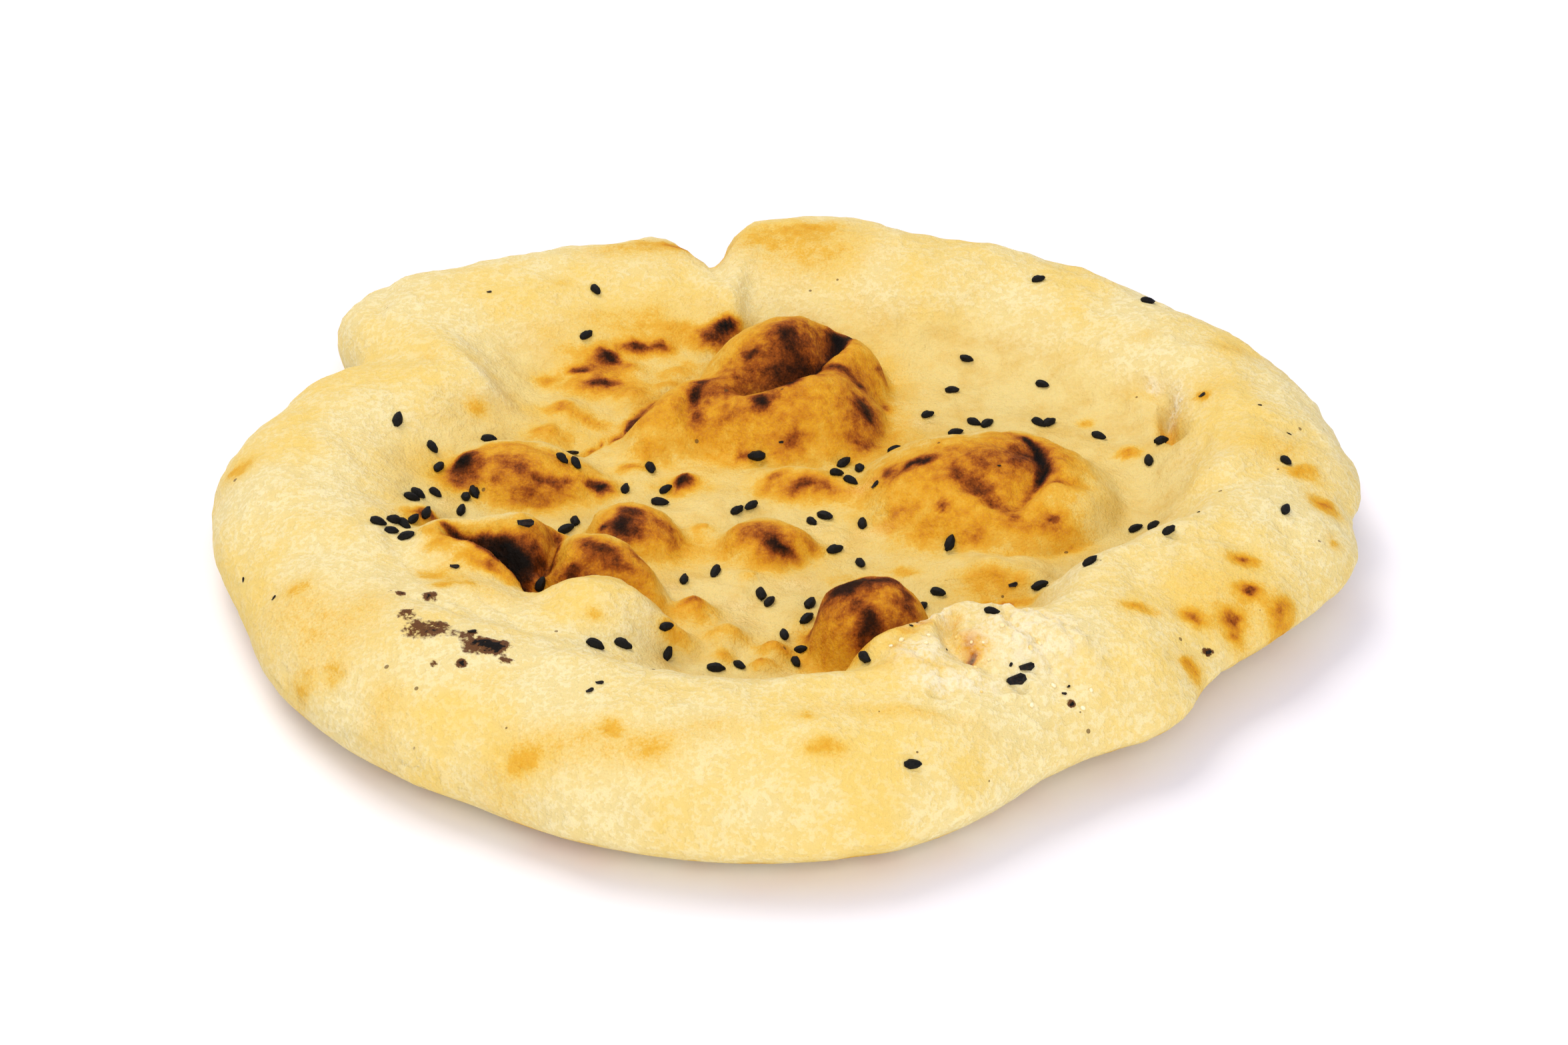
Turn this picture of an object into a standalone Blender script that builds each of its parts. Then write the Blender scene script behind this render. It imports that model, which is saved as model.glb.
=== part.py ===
# A round flatbread slapped on the wall of a clay oven: a raised, uneven rim, a
# thin dished middle full of blisters, and black seeds baked on. One closed solid.
#
# It lies on z = 0 with the middle of its box over the origin and +Z up. The
# thick front rim faces -Y, and the notched side faces +Y.
#
# The form is worked out in millimetres and degrees, and MM turns the finished
# points into metres. Azimuth 0 is +X and azimuth 90 is +Y.

import math
import random

import bpy
import numpy as np
from mathutils import Matrix, Vector
from mathutils.bvhtree import BVHTree

MM = 0.001

# ---- driving dimensions ------------------------------------------------------

HALF_WIDTH = 104.0       # plain oval of the outline, left to right
HALF_DEPTH = 98.0        # plain oval of the outline, front to back
FLOOR_HEIGHT = 11.0      # thickness of the dished middle
SEED_LENGTH = 3.1
SEED_WIDTH = 1.8
SEED_HEIGHT = 1.5
SEED_SUNK = 0.25         # share of a seed's height that sits in the crust
SEED_DRAW = 11           # start of the random draws for the seeds' sizes

# ---- outline and rim ---------------------------------------------------------

# Lobes and notches of the outline: azimuth, half angle, how far out.
LOBES = [
    (20, 12, 1.5), (36, 9, -2.5), (71, 9, -4.5),    # right of the back
    (100, 3.7, -14.0), (110, 6, -2.5),              # notch between the two back lobes
    (138, 9, 11.0), (151, 4.2, -9.0), (160, 8, -3.0),   # the ear and the corner under it
    (198, 10, -3.0), (238, 7, -1.0), (262, 22, 2.0),    # left and front
    (303, 15, -10.5), (326, 10, -11.0),             # the flat side at the front right
    (339, 7, -3.5), (356, 5, -2.5),
]
NARROW_LOBE = 5.5        # lobes with a smaller half angle stay out of the dish

# Sections through the rim, each an azimuth and then: height of the crest, how
# far the crest and the foot of the inner slope lie inside the outline, height
# of the widest line, how far the underside is drawn in, how far the edge lifts
# off the table, and how round the outer side is (2 round, less is flatter).
RIM = [
    (0, 22, 20, 42, 11, 16, 4.0, 1.7),
    (25, 21, 16, 42, 10, 14, 1.0, 2),
    (50, 20, 14, 48, 9, 12, 0.5, 2),
    (75, 23, 14, 52, 10, 12, 0.0, 2),
    (99, 21, 12, 55, 8, 12, 0.0, 2),
    (118, 21, 14, 52, 9, 12, 0.0, 2),
    (145, 20, 24, 52, 8, 12, 0.0, 2),
    (170, 20, 18, 46, 8, 12, 0.5, 2),
    (200, 21, 20, 46, 8.5, 13, 1.0, 2),
    (228, 23, 22, 48, 9, 14, 1.5, 2),
    (255, 24, 24, 46, 9.5, 15, 1.0, 2),
    (285, 24, 25, 45, 9.5, 15, 1.5, 2),
    (312, 24, 22, 37, 10.5, 14, 4.5, 1.65),
    (330, 23, 26, 40, 11.5, 14, 6.0, 1.6),
    (345, 22, 26, 42, 11.5, 15, 5.0, 1.6),
]
SECTION_REACH = 15.0     # angle over which one section gives way to the next
LIFT_REACH = 22.0        # width of the underside's outer band that lifts

# ---- blisters, folds and creases ---------------------------------------------

# Swellings: middle (x, y), half sizes, turn, top above the floor, how far the
# round form reaches below the floor, width of the join, squareness of the plan,
# and slope of the sides (0.5 steep and round, 1 like a low hill).
SWELLINGS = [
    # the big collapsed bubble behind the middle: body, back roll and left tail
    ((0.2, 28.5), (18.2, 15.5), 0, 11.5, 3, 5, 2, 0.6),
    ((1.2, 41), (18, 12.5), 8, 14.3, 3, 5, 2, 0.5),
    ((-16, 28.5), (18, 9), 40, 8.2, 2, 5, 2, 0.6),
    # the broad bubble on the right and the small roll at its edge
    ((36.5, 2), (24, 20), -10, 10.2, 2, 4, 2, 0.65),
    ((24, 10.5), (7.5, 3.6), 38, 5.5, 0.5, 1.5, 2, 0.7),
    # the burst pocket at the front left: back ridge, right lobe, front lobe
    # and the crust between that and the rim
    ((-52.5, -25.5), (19.5, 12.3), -1, 11.6, 3, 3, 2.6, 0.5),
    ((-33, -30.5), (14.5, 10.5), -35, 11.2, 3, 3, 2, 0.55),
    ((-33, -43.8), (13.8, 9.6), -5, 11.7, 3, 6, 2, 0.5),
    ((-37, -51), (17, 10), -12, 9.5, 3, 6, 2, 0.7),
    ((-52.5, -42), (18, 12), -30, 10, 3, 7, 2, 0.75),
    # the scorched dome by the front rim
    ((14.4, -43.5), (11, 10.2), 0, 12.7, 3, 1.5, 2, 0.43),
    # the crumb heaped up beside the flap's curl
    ((44.5, -59), (12.5, 8.5), -32, 13.3, 3, 5, 2, 0.8),
    # smaller domes in the dish
    ((-27, -11.5), (9.2, 8.2), 0, 5.8, 1.2, 1.8, 2, 0.5),
    ((-3.8, -13.8), (8.6, 7), -8, 4.5, 1.2, 1.8, 2, 0.52),
    ((-48, 10), (14, 10), -10, 4.8, 1.5, 2.5, 2, 0.6),
    ((4, 6), (11, 5), -20, 3.2, 1, 3, 2, 0.8),
    ((36, -23), (11, 6), -10, 2.6, 1, 3, 2, 0.8),
]

# The torn flap, folded over the front rim: its free edge from left to right,
# its top above the floor, the width of the edge's round drop, how far back it
# stays level, and how far it takes to sink into the rim after that.
FLAP = dict(
    edge=[(3, -70), (9, -62), (16, -56.5), (22.5, -52), (28.5, -47.3), (35, -48), (42, -50.8),
          (49, -55.5), (55, -62)],
    top=14, drop=4.5, level=11, sink=15, ends=0.22, sunk=2, join=1.5)

# Small blisters: x, y, radius, height.
BLISTERS = [
    (-19, 7.5, 3.2, 2.2), (-33, 6, 2.6, 1.8), (-64, -9.5, 6, 3.2), (-34, 8.5, 2.5, 1.2),
    (-16, -34.5, 4.4, 4), (-10, -42.5, 4.6, 3), (-18.5, -45.5, 4, 3.4), (-2, -46, 3.8, 3),
    (-35, 48, 4, 1.8), (-36, 41, 5, 1.6), (-40, 45.5, 2.6, 1.2), (-29.5, 52, 3, 1.2),
    (-24, 52, 2.6, 1.4), (-12, 55.5, 4.6, 3.4), (-29.5, 45, 3, 1.4), (-41, 31, 5, 1.6),
    (63, 17, 3, 1.2), (-58.5, 10, 4.2, 2), (43, -27.5, 4, 2.2), (9.5, -26, 3, 1.4),
    (3.8, -14.8, 4, 1.5), (-13, -36, 3, 0.8), (-11, -49, 2.8, 2.2), (-4.2, -51, 2.6, 2),
    (-15.2, -7.6, 2.2, 1.4), (-6.5, -24.2, 2.8, 1.2), (-28, 12.2, 2.6, 1.4), (-25.5, 15.8, 3.2, 1.4),
    (-44, 23, 5, 1.6), (-29.5, 35.8, 3.2, 1.4), (-21, 44.5, 3.6, 1.4), (-23, 40, 2.8, 1.2),
]

# Creases where the crust folds in: points, depth, width of the round wall on
# the right of the line's direction and on its left, share of each end that
# runs out, and how far the sharp bottom is opened.
CREASES = [
    # the curled hollow and the tail's valley of the big bubble
    ([(13.5, 50), (10, 44.5), (6.3, 37.5), (2.3, 31.8), (-2.5, 28.8), (-8.5, 29), (-12.5, 31)],
     8, 7, 7, 0.25, 1),
    ([(-15, 30.5), (-17.5, 25), (-19.5, 18)], 2.5, 4, 4, 0.3, 1),
    # the pit of the bubble on the right, and the folds that meet in it
    ([(43.2, 12), (45.2, 6.5), (46.6, 0.2), (44.2, -4.5), (41, -9.5), (39, -14)], 3.6, 9, 3, 0.25, 0.8),
    ([(39.6, -12), (36.2, -9.5), (32.5, -6.5), (28, -5)], 1.8, 6, 2, 0.3, 0.8),
    ([(46, -1.5), (50, -3.6), (56, -1.5)], 1.4, 1.8, 6, 0.3, 0.8),
    ([(36, 6.5), (40.5, 4.5), (45, 5)], 1.3, 4, 2, 0.3, 0.8),
    # the pocket: its pit, and the three creases that meet in it
    ([(-61.5, -22.5), (-56, -24.5), (-50, -28.5), (-45, -33), (-41, -37.5)], 9, 3, 10.5, 0.25, 1),
    ([(-40.3, -17), (-40.8, -22), (-41.5, -27), (-42.5, -32)], 6, 4.5, 4.5, 0.2, 1),
    ([(-44.5, -32.5), (-38.5, -34.5), (-32, -35), (-26, -37), (-21, -41)], 3.5, 3, 4.5, 0.25, 1),
    ([(-44.5, -32.5), (-42, -36.5), (-39.5, -40)], 2.2, 2.6, 3, 0.25, 0.8),
    # the valley that runs in from the notch, and the fold of the ear
    ([(-20, 98), (-17.5, 84), (-14, 72), (-12, 60)], 3.5, 9, 9, 0.3, 2),
    ([(-74, 84), (-77.5, 74), (-78.5, 62), (-78, 51)], 1.8, 5, 2, 0.3, 1),
    # the tear and the soft ridge's foot in the right wall of the dish
    ([(65, 35), (70, 30), (71.5, 22), (72, 14)], 3, 7, 4, 0.3, 1),
    ([(67, -10), (77, -8), (87, -1), (97, 12)], 1.6, 9, 9, 0.3, 2),
    # the curl in the torn flap, and its lower lip
    ([(29, -53), (26, -58), (26.5, -63), (30, -66.5), (34, -69)], 2.4, 2.5, 6, 0.25, 0.8),
    ([(18, -75), (28, -76), (36, -75), (43, -72), (48, -66)], 0.6, 1.5, 5, 0.25, 0.8),
    # wrinkles in the rim below the pocket
    ([(-62, -45), (-55, -47), (-50, -52), (-46, -56)], 0.9, 3, 4, 0.3, 1),
]

# Soft unevenness of the crust: size of the lumps and their height.
LUMPS = [("Broad lumps", 26.0, 2.6), ("Small lumps", 9.0, 1.1)]

# ---- seeds -------------------------------------------------------------------

# Where each seed fell: x, y and the turn of its length.
SEEDS = [
    # back and left wall of the dish
    (-37, 64, -60), (-38.5, 52.5, 50), (-71.5, 17.5, 85), (-65, 13.5, -52), (-63.5, 9, 70),
    (-55, 19, 0), (-41, 9, -40), (-38.5, 8.5, -60), (-66.5, -1, -30), (-67.5, -3, 15),
    (-63.5, 0.5, -30), (-64, -11.5, 80), (-66, -14, 60), (-69, -17.5, 30), (-71.5, -20.5, 10),
    (-69, -22, 5), (-67.5, -17.5, -40), (-66, -24, -10), (-56.5, 2.5, -70), (-58, 0.5, 100),
    (-58.5, -3.5, 80),
    # back right
    (49, 65.5, 0), (69.5, 58, 20), (34.5, 49.5, -20), (31.5, 40, -15), (48.5, 39.5, -30),
    (26.5, 31.5, 30), (31.5, 24.5, 20), (35, 28, -35), (37.5, 27.5, 50), (47, 27, -25),
    (49, 27.5, 40), (58, 22.5, -35), (69, 17, 30), (66.5, 13, 90), (20, 17, 15),
    # middle of the dish
    (-5.5, 14.5, 175), (10.5, 13.5, 50), (13.5, 11, -80), (9, 6, 35), (11.5, 4, -20),
    (-9, -2.5, 45), (-6.5, -1.5, 220), (4.5, -6, -60), (7, -4, -30), (13.5, -7.5, 90),
    (8.5, -14.5, 30), (13, -19, -75), (29, -15.5, 65), (-25, 12, -75), (-22, 6, 35),
    (-29.5, 5.5, 85), (-23, 1.5, 0), (-38, -5.5, 100), (-39.5, -8, 35), (-42.5, -32, 60),
    (-18, -24.5, 85), (-12.5, -22, 250), (-4.5, -28.5, 100), (-3, -31, 60), (-20.5, -46.5, 30),
    (-20.5, -49, 90),
    # round the scorched dome and the flap
    (4, -31, 70), (3.5, -36, 50), (-0.5, -40.5, 100), (2.5, -44.5, -15), (1.5, -48.5, -72),
    (-8, -51, -50), (-12, -52, 0), (23.5, -32, 60), (26.5, -27.5, -30), (13, -64.5, -60),
    (34, -55, 15), (44, -29.5, 20),
    # the rim
    (62.5, -8, 20), (65.5, -10.5, 50), (66, -27, 40), (52, -36, 20), (89.5, 0, -60),
    (87.5, -16.5, 70), (-32, -57, -5), (-27.5, -54.5, -10), (20, -89, 5),
]

# ---- mesh --------------------------------------------------------------------

STEPS = 56               # divisions along each side of the rounded cube
KEPT_FACES = 7700        # triangles that stay, most of them where the crust curves
TOP_SHARE = 0.84         # share of the faces that make the top
CREST_SHARE = 0.78       # share of the way out at which the rim's crest lies
UNDER_SHARE = 0.70       # share of the way out at which the flat underside ends


def smooth_step(t):
    t = np.clip(t, 0, 1)
    return t * t * (3 - 2 * t)


def smooth_maximum(a, b, width):
    share = np.clip(0.5 + 0.5 * (b - a) / width, 0, 1)
    return a * (1 - share) + b * share + width * share * (1 - share)


def angle_between(a, b):
    return (a - b + 180) % 360 - 180


def outline_radius(azimuth, narrowest=0):
    """Distance from the middle to the edge, without lobes below a half angle."""
    a = np.radians(azimuth)
    radius = HALF_WIDTH * HALF_DEPTH / np.hypot(HALF_DEPTH * np.cos(a), HALF_WIDTH * np.sin(a))
    for middle, half_angle, out in LOBES:
        if half_angle >= narrowest:
            radius = radius + out * np.exp(-(angle_between(azimuth, middle) / half_angle) ** 2)
    return radius


def rim_section(azimuth):
    """The rim's seven sizes at each azimuth, between the sections of RIM."""
    weights = [np.exp(-(angle_between(azimuth, row[0]) / SECTION_REACH) ** 2) for row in RIM]
    total = sum(weights)
    return [sum(w * row[k] for w, row in zip(weights, RIM)) / total for k in range(1, 8)]


def floor_height(x, y):
    """The dish's floor, gently waved."""
    return FLOOR_HEIGHT + 0.8 * np.sin(x / 17 + 0.6) * np.cos(y / 14) - 0.6 * np.cos(x / 31 - 0.4)


def bowl_height(x, y):
    """Height of the plain rim and dish."""
    azimuth = np.degrees(np.arctan2(y, x))
    edge = outline_radius(azimuth)
    inside = edge - np.hypot(x, y)
    crest, crest_in, foot_in, widest, _, _, roundness = rim_section(azimuth)
    out = np.clip(1 - inside / crest_in, 0, 1)
    outer = widest + (crest - widest) * (1 - out ** roundness) ** (1 / roundness)
    t = (inside - crest_in) / (foot_in - crest_in)
    soft_edge = outline_radius(azimuth, NARROW_LOBE) - edge
    t = np.clip(t + soft_edge * smooth_step(1.5 * t) / (foot_in - crest_in), 0, 1)
    floor = floor_height(x, y)
    inner = floor + (crest - floor) * (0.5 + 0.5 * np.cos(np.pi * t ** 1.05))
    return np.where(inside < crest_in, outer, inner)


def raise_swelling(z, x, y, middle, half_sizes, turn, top, sunk, join, square, slope):
    a = math.radians(turn)
    u = (x - middle[0]) * math.cos(a) + (y - middle[1]) * math.sin(a)
    v = (y - middle[1]) * math.cos(a) - (x - middle[0]) * math.sin(a)
    inside = 1 - np.abs(u / half_sizes[0]) ** square - np.abs(v / half_sizes[1]) ** square
    cap = FLOOR_HEIGHT - sunk + (top + sunk) * np.sign(inside) * np.abs(inside) ** slope
    return smooth_maximum(z, cap, join)


def smooth_line(points, steps=6):
    """A smooth line through a few points."""
    p = np.array(points, float)
    p = np.vstack([2 * p[0] - p[1], p, 2 * p[-1] - p[-2]])
    line = []
    for a, b, c, d in zip(p, p[1:], p[2:], p[3:]):
        for t in np.arange(steps) / steps:
            line.append(0.5 * (2 * b + (c - a) * t + (2 * a - 5 * b + 4 * c - d) * t ** 2
                               + (3 * b - a - 3 * c + d) * t ** 3))
    line.append(p[-2])
    return np.array(line)


def nearest_on_line(x, y, line):
    """Distance to a line, the share of its length at the nearest point, and the side."""
    runs = np.hypot(*(line[1:] - line[:-1]).T)
    starts = np.concatenate([[0], np.cumsum(runs)])
    nearest = np.full(x.shape, np.inf)
    share = np.zeros(x.shape)
    side = np.ones(x.shape)
    for a, b, run, start in zip(line, line[1:], runs, starts):
        along = (b - a) / run
        s = np.clip((x - a[0]) * along[0] + (y - a[1]) * along[1], 0, run)
        distance = np.hypot(x - a[0] - s * along[0], y - a[1] - s * along[1])
        closer = distance < nearest
        nearest = np.where(closer, distance, nearest)
        share = np.where(closer, (start + s) / starts[-1], share)
        side = np.where(closer, np.sign(along[0] * (y - a[1]) - along[1] * (x - a[0])), side)
    return nearest, share, side


def raise_flap(z, x, y, edge, top, drop, level, sink, ends, sunk, join):
    """A shelf of crust with a round free edge, which dies away towards the rim."""
    distance, share, side = nearest_on_line(x, y, smooth_line(edge))
    inside = -side * distance
    rise = np.sign(inside) * np.sqrt(1 - (1 - np.clip(np.abs(inside) / drop, 0, 1)) ** 2)
    fade = smooth_step(share / ends) * smooth_step((1 - share) / ends)
    fade = fade * (1 - smooth_step((inside - level) / sink))
    cap = FLOOR_HEIGHT - sunk + (top + sunk) * rise * fade
    return smooth_maximum(z, cap, join)


def press_crease(z, x, y, points, depth, right, left, ends, open_by):
    """A fold with a round wall on each side, running out at both ends."""
    distance, share, side = nearest_on_line(x, y, smooth_line(points))
    distance = np.hypot(distance, open_by) - open_by
    wall = np.clip(1 - distance / np.where(side > 0, left, right), 0, 1)
    fade = smooth_step(share / ends) * smooth_step((1 - share) / ends)
    return z - depth * fade * (1 - np.sqrt(1 - wall ** 2))


def add_relief(z, x, y):
    for swelling in SWELLINGS:
        z = raise_swelling(z, x, y, *swelling)
    z = raise_flap(z, x, y, **FLAP)
    for crease in CREASES:
        z = press_crease(z, x, y, *crease)
    for middle_x, middle_y, radius, height in BLISTERS:
        out = np.hypot(x - middle_x, y - middle_y) / radius
        z = z + height * (1 - smooth_step(out / 1.15))
    return z


def bread_points(directions):
    """Move points of the unit sphere to the bread, evenly by area."""
    low_share = (1 - directions[:, 2]) / 2
    azimuth = np.degrees(np.arctan2(directions[:, 1], directions[:, 0]))
    cosine, sine = np.cos(np.radians(azimuth)), np.sin(np.radians(azimuth))
    edge = outline_radius(azimuth)
    crest, crest_in, _, widest, under_in, lift, roundness = rim_section(azimuth)

    out = np.sqrt(np.clip(low_share / TOP_SHARE, 0, 1))
    bend = np.clip((out - CREST_SHARE) / (1 - CREST_SHARE), 0, 1) * np.pi / 2
    plain = outline_radius(azimuth, NARROW_LOBE)
    inner_edge = plain + (edge - plain) * smooth_step(out / CREST_SHARE)
    r = np.where(out < CREST_SHARE, out / CREST_SHARE * (inner_edge - crest_in),
                 edge - crest_in * (1 - np.sin(bend) ** (2 / roundness)))
    x, y = r * cosine, r * sine
    z = np.where(out < CREST_SHARE, bowl_height(x, y),
                 widest + (crest - widest) * np.abs(np.cos(bend)) ** (2 / roundness))
    top = np.stack([x, y, add_relief(z, x, y)], 1)

    out = np.sqrt(np.clip((1 - low_share) / (1 - TOP_SHARE), 0, 1))
    bend = np.clip((out - UNDER_SHARE) / (1 - UNDER_SHARE), 0, 1) * np.pi / 2
    r = np.where(out < UNDER_SHARE, out / UNDER_SHARE * (edge - under_in),
                 edge - under_in * (1 - np.sin(bend)))
    z = np.where(out < UNDER_SHARE, 0, widest * (1 - np.cos(bend)))
    z = z + lift * smooth_step((r - edge + under_in + LIFT_REACH) / LIFT_REACH) * (1 - z / widest)
    under = np.stack([r * cosine, r * sine, z], 1)
    return np.where((low_share <= TOP_SHARE)[:, None], top, under)


def rounded_cube(name, steps):
    """A cube cut into an even grid and blown up to the unit sphere."""
    bpy.ops.mesh.primitive_cube_add(size=2)
    ball = bpy.context.object
    ball.name = ball.data.name = name
    bpy.ops.object.mode_set(mode="EDIT")
    bpy.ops.mesh.subdivide(number_cuts=steps - 1)
    bpy.ops.object.mode_set(mode="OBJECT")
    for vertex in ball.data.vertices:
        even = Vector(math.tan(c * math.pi / 4) for c in vertex.co)
        vertex.co = even.normalized()
    return ball


def add_lumps(bread):
    """Uneven dough all over the top, none on the flat underside."""
    crust = bread.vertex_groups.new(name="Crust")
    for vertex in bread.data.vertices:
        height = vertex.co.z / (FLOOR_HEIGHT * MM)
        crust.add([vertex.index], min(max(height, 0), 1) ** 2, "REPLACE")
    for name, size, height in LUMPS:
        texture = bpy.data.textures.new(name, "CLOUDS")
        texture.noise_scale = size * MM
        texture.noise_depth = 1
        lumps = bread.modifiers.new(name, "DISPLACE")
        lumps.texture = texture
        lumps.texture_coords = "LOCAL"
        lumps.strength = height * MM
        lumps.vertex_group = crust.name
        bpy.ops.object.modifier_apply(modifier=name)


def make_bread(name):
    bread = rounded_cube(name, STEPS)
    mesh = bread.data
    points = np.empty(len(mesh.vertices) * 3)
    mesh.vertices.foreach_get("co", points)
    points = bread_points(points.reshape(-1, 3)) * MM
    mesh.vertices.foreach_set("co", points.ravel())
    mesh.update()
    add_lumps(bread)
    return bread


def thin_out(bread):
    """Fewer triangles, and those where the form needs them."""
    fewer = bread.modifiers.new("Fewer faces", "DECIMATE")
    fewer.ratio = KEPT_FACES / (12 * STEPS ** 2)
    fewer.use_collapse_triangulate = True
    bpy.ops.object.modifier_apply(modifier=fewer.name)


def make_seed_mesh():
    """A small angular drop, pointed towards +X."""
    bpy.ops.mesh.primitive_ico_sphere_add(subdivisions=1, radius=0.5)
    seed = bpy.context.object
    for vertex in seed.data.vertices:
        x, y, z = vertex.co
        slim = 1 - 0.5 * x
        vertex.co = Vector((x * SEED_LENGTH, y * slim * SEED_WIDTH, z * slim * SEED_HEIGHT)) * MM
    mesh = seed.data
    bpy.data.objects.remove(seed)
    return mesh


def sow_seeds(bread):
    """Set the seeds into the crust and fuse them to it."""
    crust = BVHTree.FromObject(bread, bpy.context.evaluated_depsgraph_get())
    seeds = bpy.data.collections.new("Seeds")
    bpy.context.scene.collection.children.link(seeds)
    mesh = make_seed_mesh()
    draw = random.Random(SEED_DRAW)
    for x, y, turn in SEEDS:
        point, normal, _, _ = crust.ray_cast(Vector((x * MM, y * MM, 0.1)), Vector((0, 0, -1)))
        seed = bpy.data.objects.new("Seed", mesh)
        lift = normal * SEED_HEIGHT * (0.5 - SEED_SUNK) * MM
        tilt = normal.to_track_quat("Z", "Y").to_matrix().to_4x4()
        seed.matrix_world = (Matrix.Translation(point + lift) @ tilt
                             @ Matrix.Rotation(math.radians(turn), 4, "Z")
                             @ Matrix.Scale(draw.uniform(0.88, 1.1), 4))
        seeds.objects.link(seed)

    fuse = bread.modifiers.new("Fused seeds", "BOOLEAN")
    fuse.operation = "UNION"
    fuse.operand_type = "COLLECTION"
    fuse.collection = seeds
    fuse.solver = "MANIFOLD"
    bpy.context.view_layer.objects.active = bread
    bpy.ops.object.modifier_apply(modifier=fuse.name)
    for seed in list(seeds.objects):
        bpy.data.objects.remove(seed)
    bpy.data.collections.remove(seeds)


def centre_on_origin(bread, corners):
    low, high = (Vector(f(c[k] for c in corners) for k in range(3)) for f in (min, max))
    middle = (low + high) / 2
    bread.data.transform(Matrix.Translation((-middle.x, -middle.y, -low.z)))


def crust_material():
    """Pale baked dough, matt with flour."""
    material = bpy.data.materials.new("Baked dough")
    material.use_nodes = True
    shader = material.node_tree.nodes["Principled BSDF"]
    shader.inputs["Base Color"].default_value = (0.86, 0.66, 0.27, 1)
    shader.inputs["Roughness"].default_value = 0.75
    return material


def main():
    for old in list(bpy.data.objects):
        bpy.data.objects.remove(old)
    bread = make_bread("naan")
    thin_out(bread)
    corners = [Vector(c) for c in bread.bound_box]
    sow_seeds(bread)
    centre_on_origin(bread, corners)
    bread.data.materials.clear()
    bread.data.materials.append(crust_material())
    bread.data.shade_smooth()

    parts = bpy.data.collections.new("Naan")
    bpy.context.scene.collection.children.link(parts)
    for collection in list(bread.users_collection):
        collection.objects.unlink(bread)
    parts.objects.link(bread)


main()
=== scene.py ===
# A round flatbread slapped on the wall of a clay oven, on a white studio table.
# Lengths are in millimetres and angles in degrees, and mm turns them into metres
# where a mesh or a material takes them. Azimuth 0 is +X, 90 is +Y, -Y the front.

import math
import random
from functools import partial

import bpy
import numpy as np
from mathutils import Matrix, Vector, noise
from mathutils.bvhtree import BVHTree


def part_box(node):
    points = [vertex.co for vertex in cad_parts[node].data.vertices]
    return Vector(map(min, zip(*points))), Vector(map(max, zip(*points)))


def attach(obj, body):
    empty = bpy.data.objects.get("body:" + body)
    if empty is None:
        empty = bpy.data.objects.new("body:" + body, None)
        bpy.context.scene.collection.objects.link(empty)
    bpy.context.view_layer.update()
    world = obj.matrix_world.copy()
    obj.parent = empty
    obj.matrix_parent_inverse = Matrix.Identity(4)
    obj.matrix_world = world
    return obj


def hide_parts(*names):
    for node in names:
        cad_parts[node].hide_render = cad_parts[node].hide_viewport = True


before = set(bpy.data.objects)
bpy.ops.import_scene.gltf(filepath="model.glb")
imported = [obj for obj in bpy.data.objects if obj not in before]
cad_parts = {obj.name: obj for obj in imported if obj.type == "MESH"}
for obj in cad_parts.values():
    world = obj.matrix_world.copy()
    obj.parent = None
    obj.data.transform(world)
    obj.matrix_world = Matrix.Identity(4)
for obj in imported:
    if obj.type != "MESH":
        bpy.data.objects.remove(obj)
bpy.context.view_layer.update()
bpy.ops.object.select_all(action="DESELECT")

mm = 0.001


# sRGB hex to the linear colour that Blender works in
def hexColor(text):
    parts = [int(text[k:k + 2], 16) / 255 for k in (1, 3, 5)]
    linear = [p / 12.92 if p <= 0.04045 else ((p + 0.055) / 1.055) ** 2.4 for p in parts]
    return (*linear, 1)


# One node with its settings and, on a ramp, its stops. An input is a value, a hex
# colour, a node or one output of a node.
def addNode(material, kind, inputs=None, stops=(), **settings):
    tree = material.node_tree
    node = tree.nodes.new("ShaderNode" + kind)
    for name, value in settings.items():
        setattr(node, name, value)
    for k, (position, color) in enumerate(stops):
        marks = node.color_ramp.elements
        mark = marks[k] if k < 2 else marks.new(position)   # a new ramp has two
        mark.position = position
        mark.color = hexColor(color)
    for socket, value in (inputs or {}).items():
        if isinstance(value, str):
            value = hexColor(value)
        if isinstance(value, bpy.types.Node):
            value = next(output for output in value.outputs if output.enabled)
        if isinstance(value, bpy.types.NodeSocket):
            tree.links.new(value, node.inputs[socket])
        else:
            node.inputs[socket].default_value = value
    return node


# An empty material, and addNode for that material.
def newMaterial(name):
    material = bpy.data.materials.new(name)
    material.use_nodes = True
    material.node_tree.nodes.clear()
    return material, partial(addNode, material)


# A modifier with its settings, applied to a piece that is the active object.
def applyModifier(piece, kind, **settings):
    modifier = piece.modifiers.new(kind.lower(), kind)
    for name, value in settings.items():
        setattr(modifier, name, value)
    bpy.ops.object.modifier_apply(modifier=modifier.name)


# Edit mode on the active object, with all of it selected or none.
def startEditing(action="SELECT"):
    bpy.ops.object.mode_set(mode="EDIT")
    bpy.ops.mesh.select_all(action=action)


# 0 at 0 and below, 1 at 1 and above, and a soft curve between.
def smoothStep(t):
    t = np.clip(t, 0, 1)
    return t * t * (3 - 2 * t)


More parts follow.
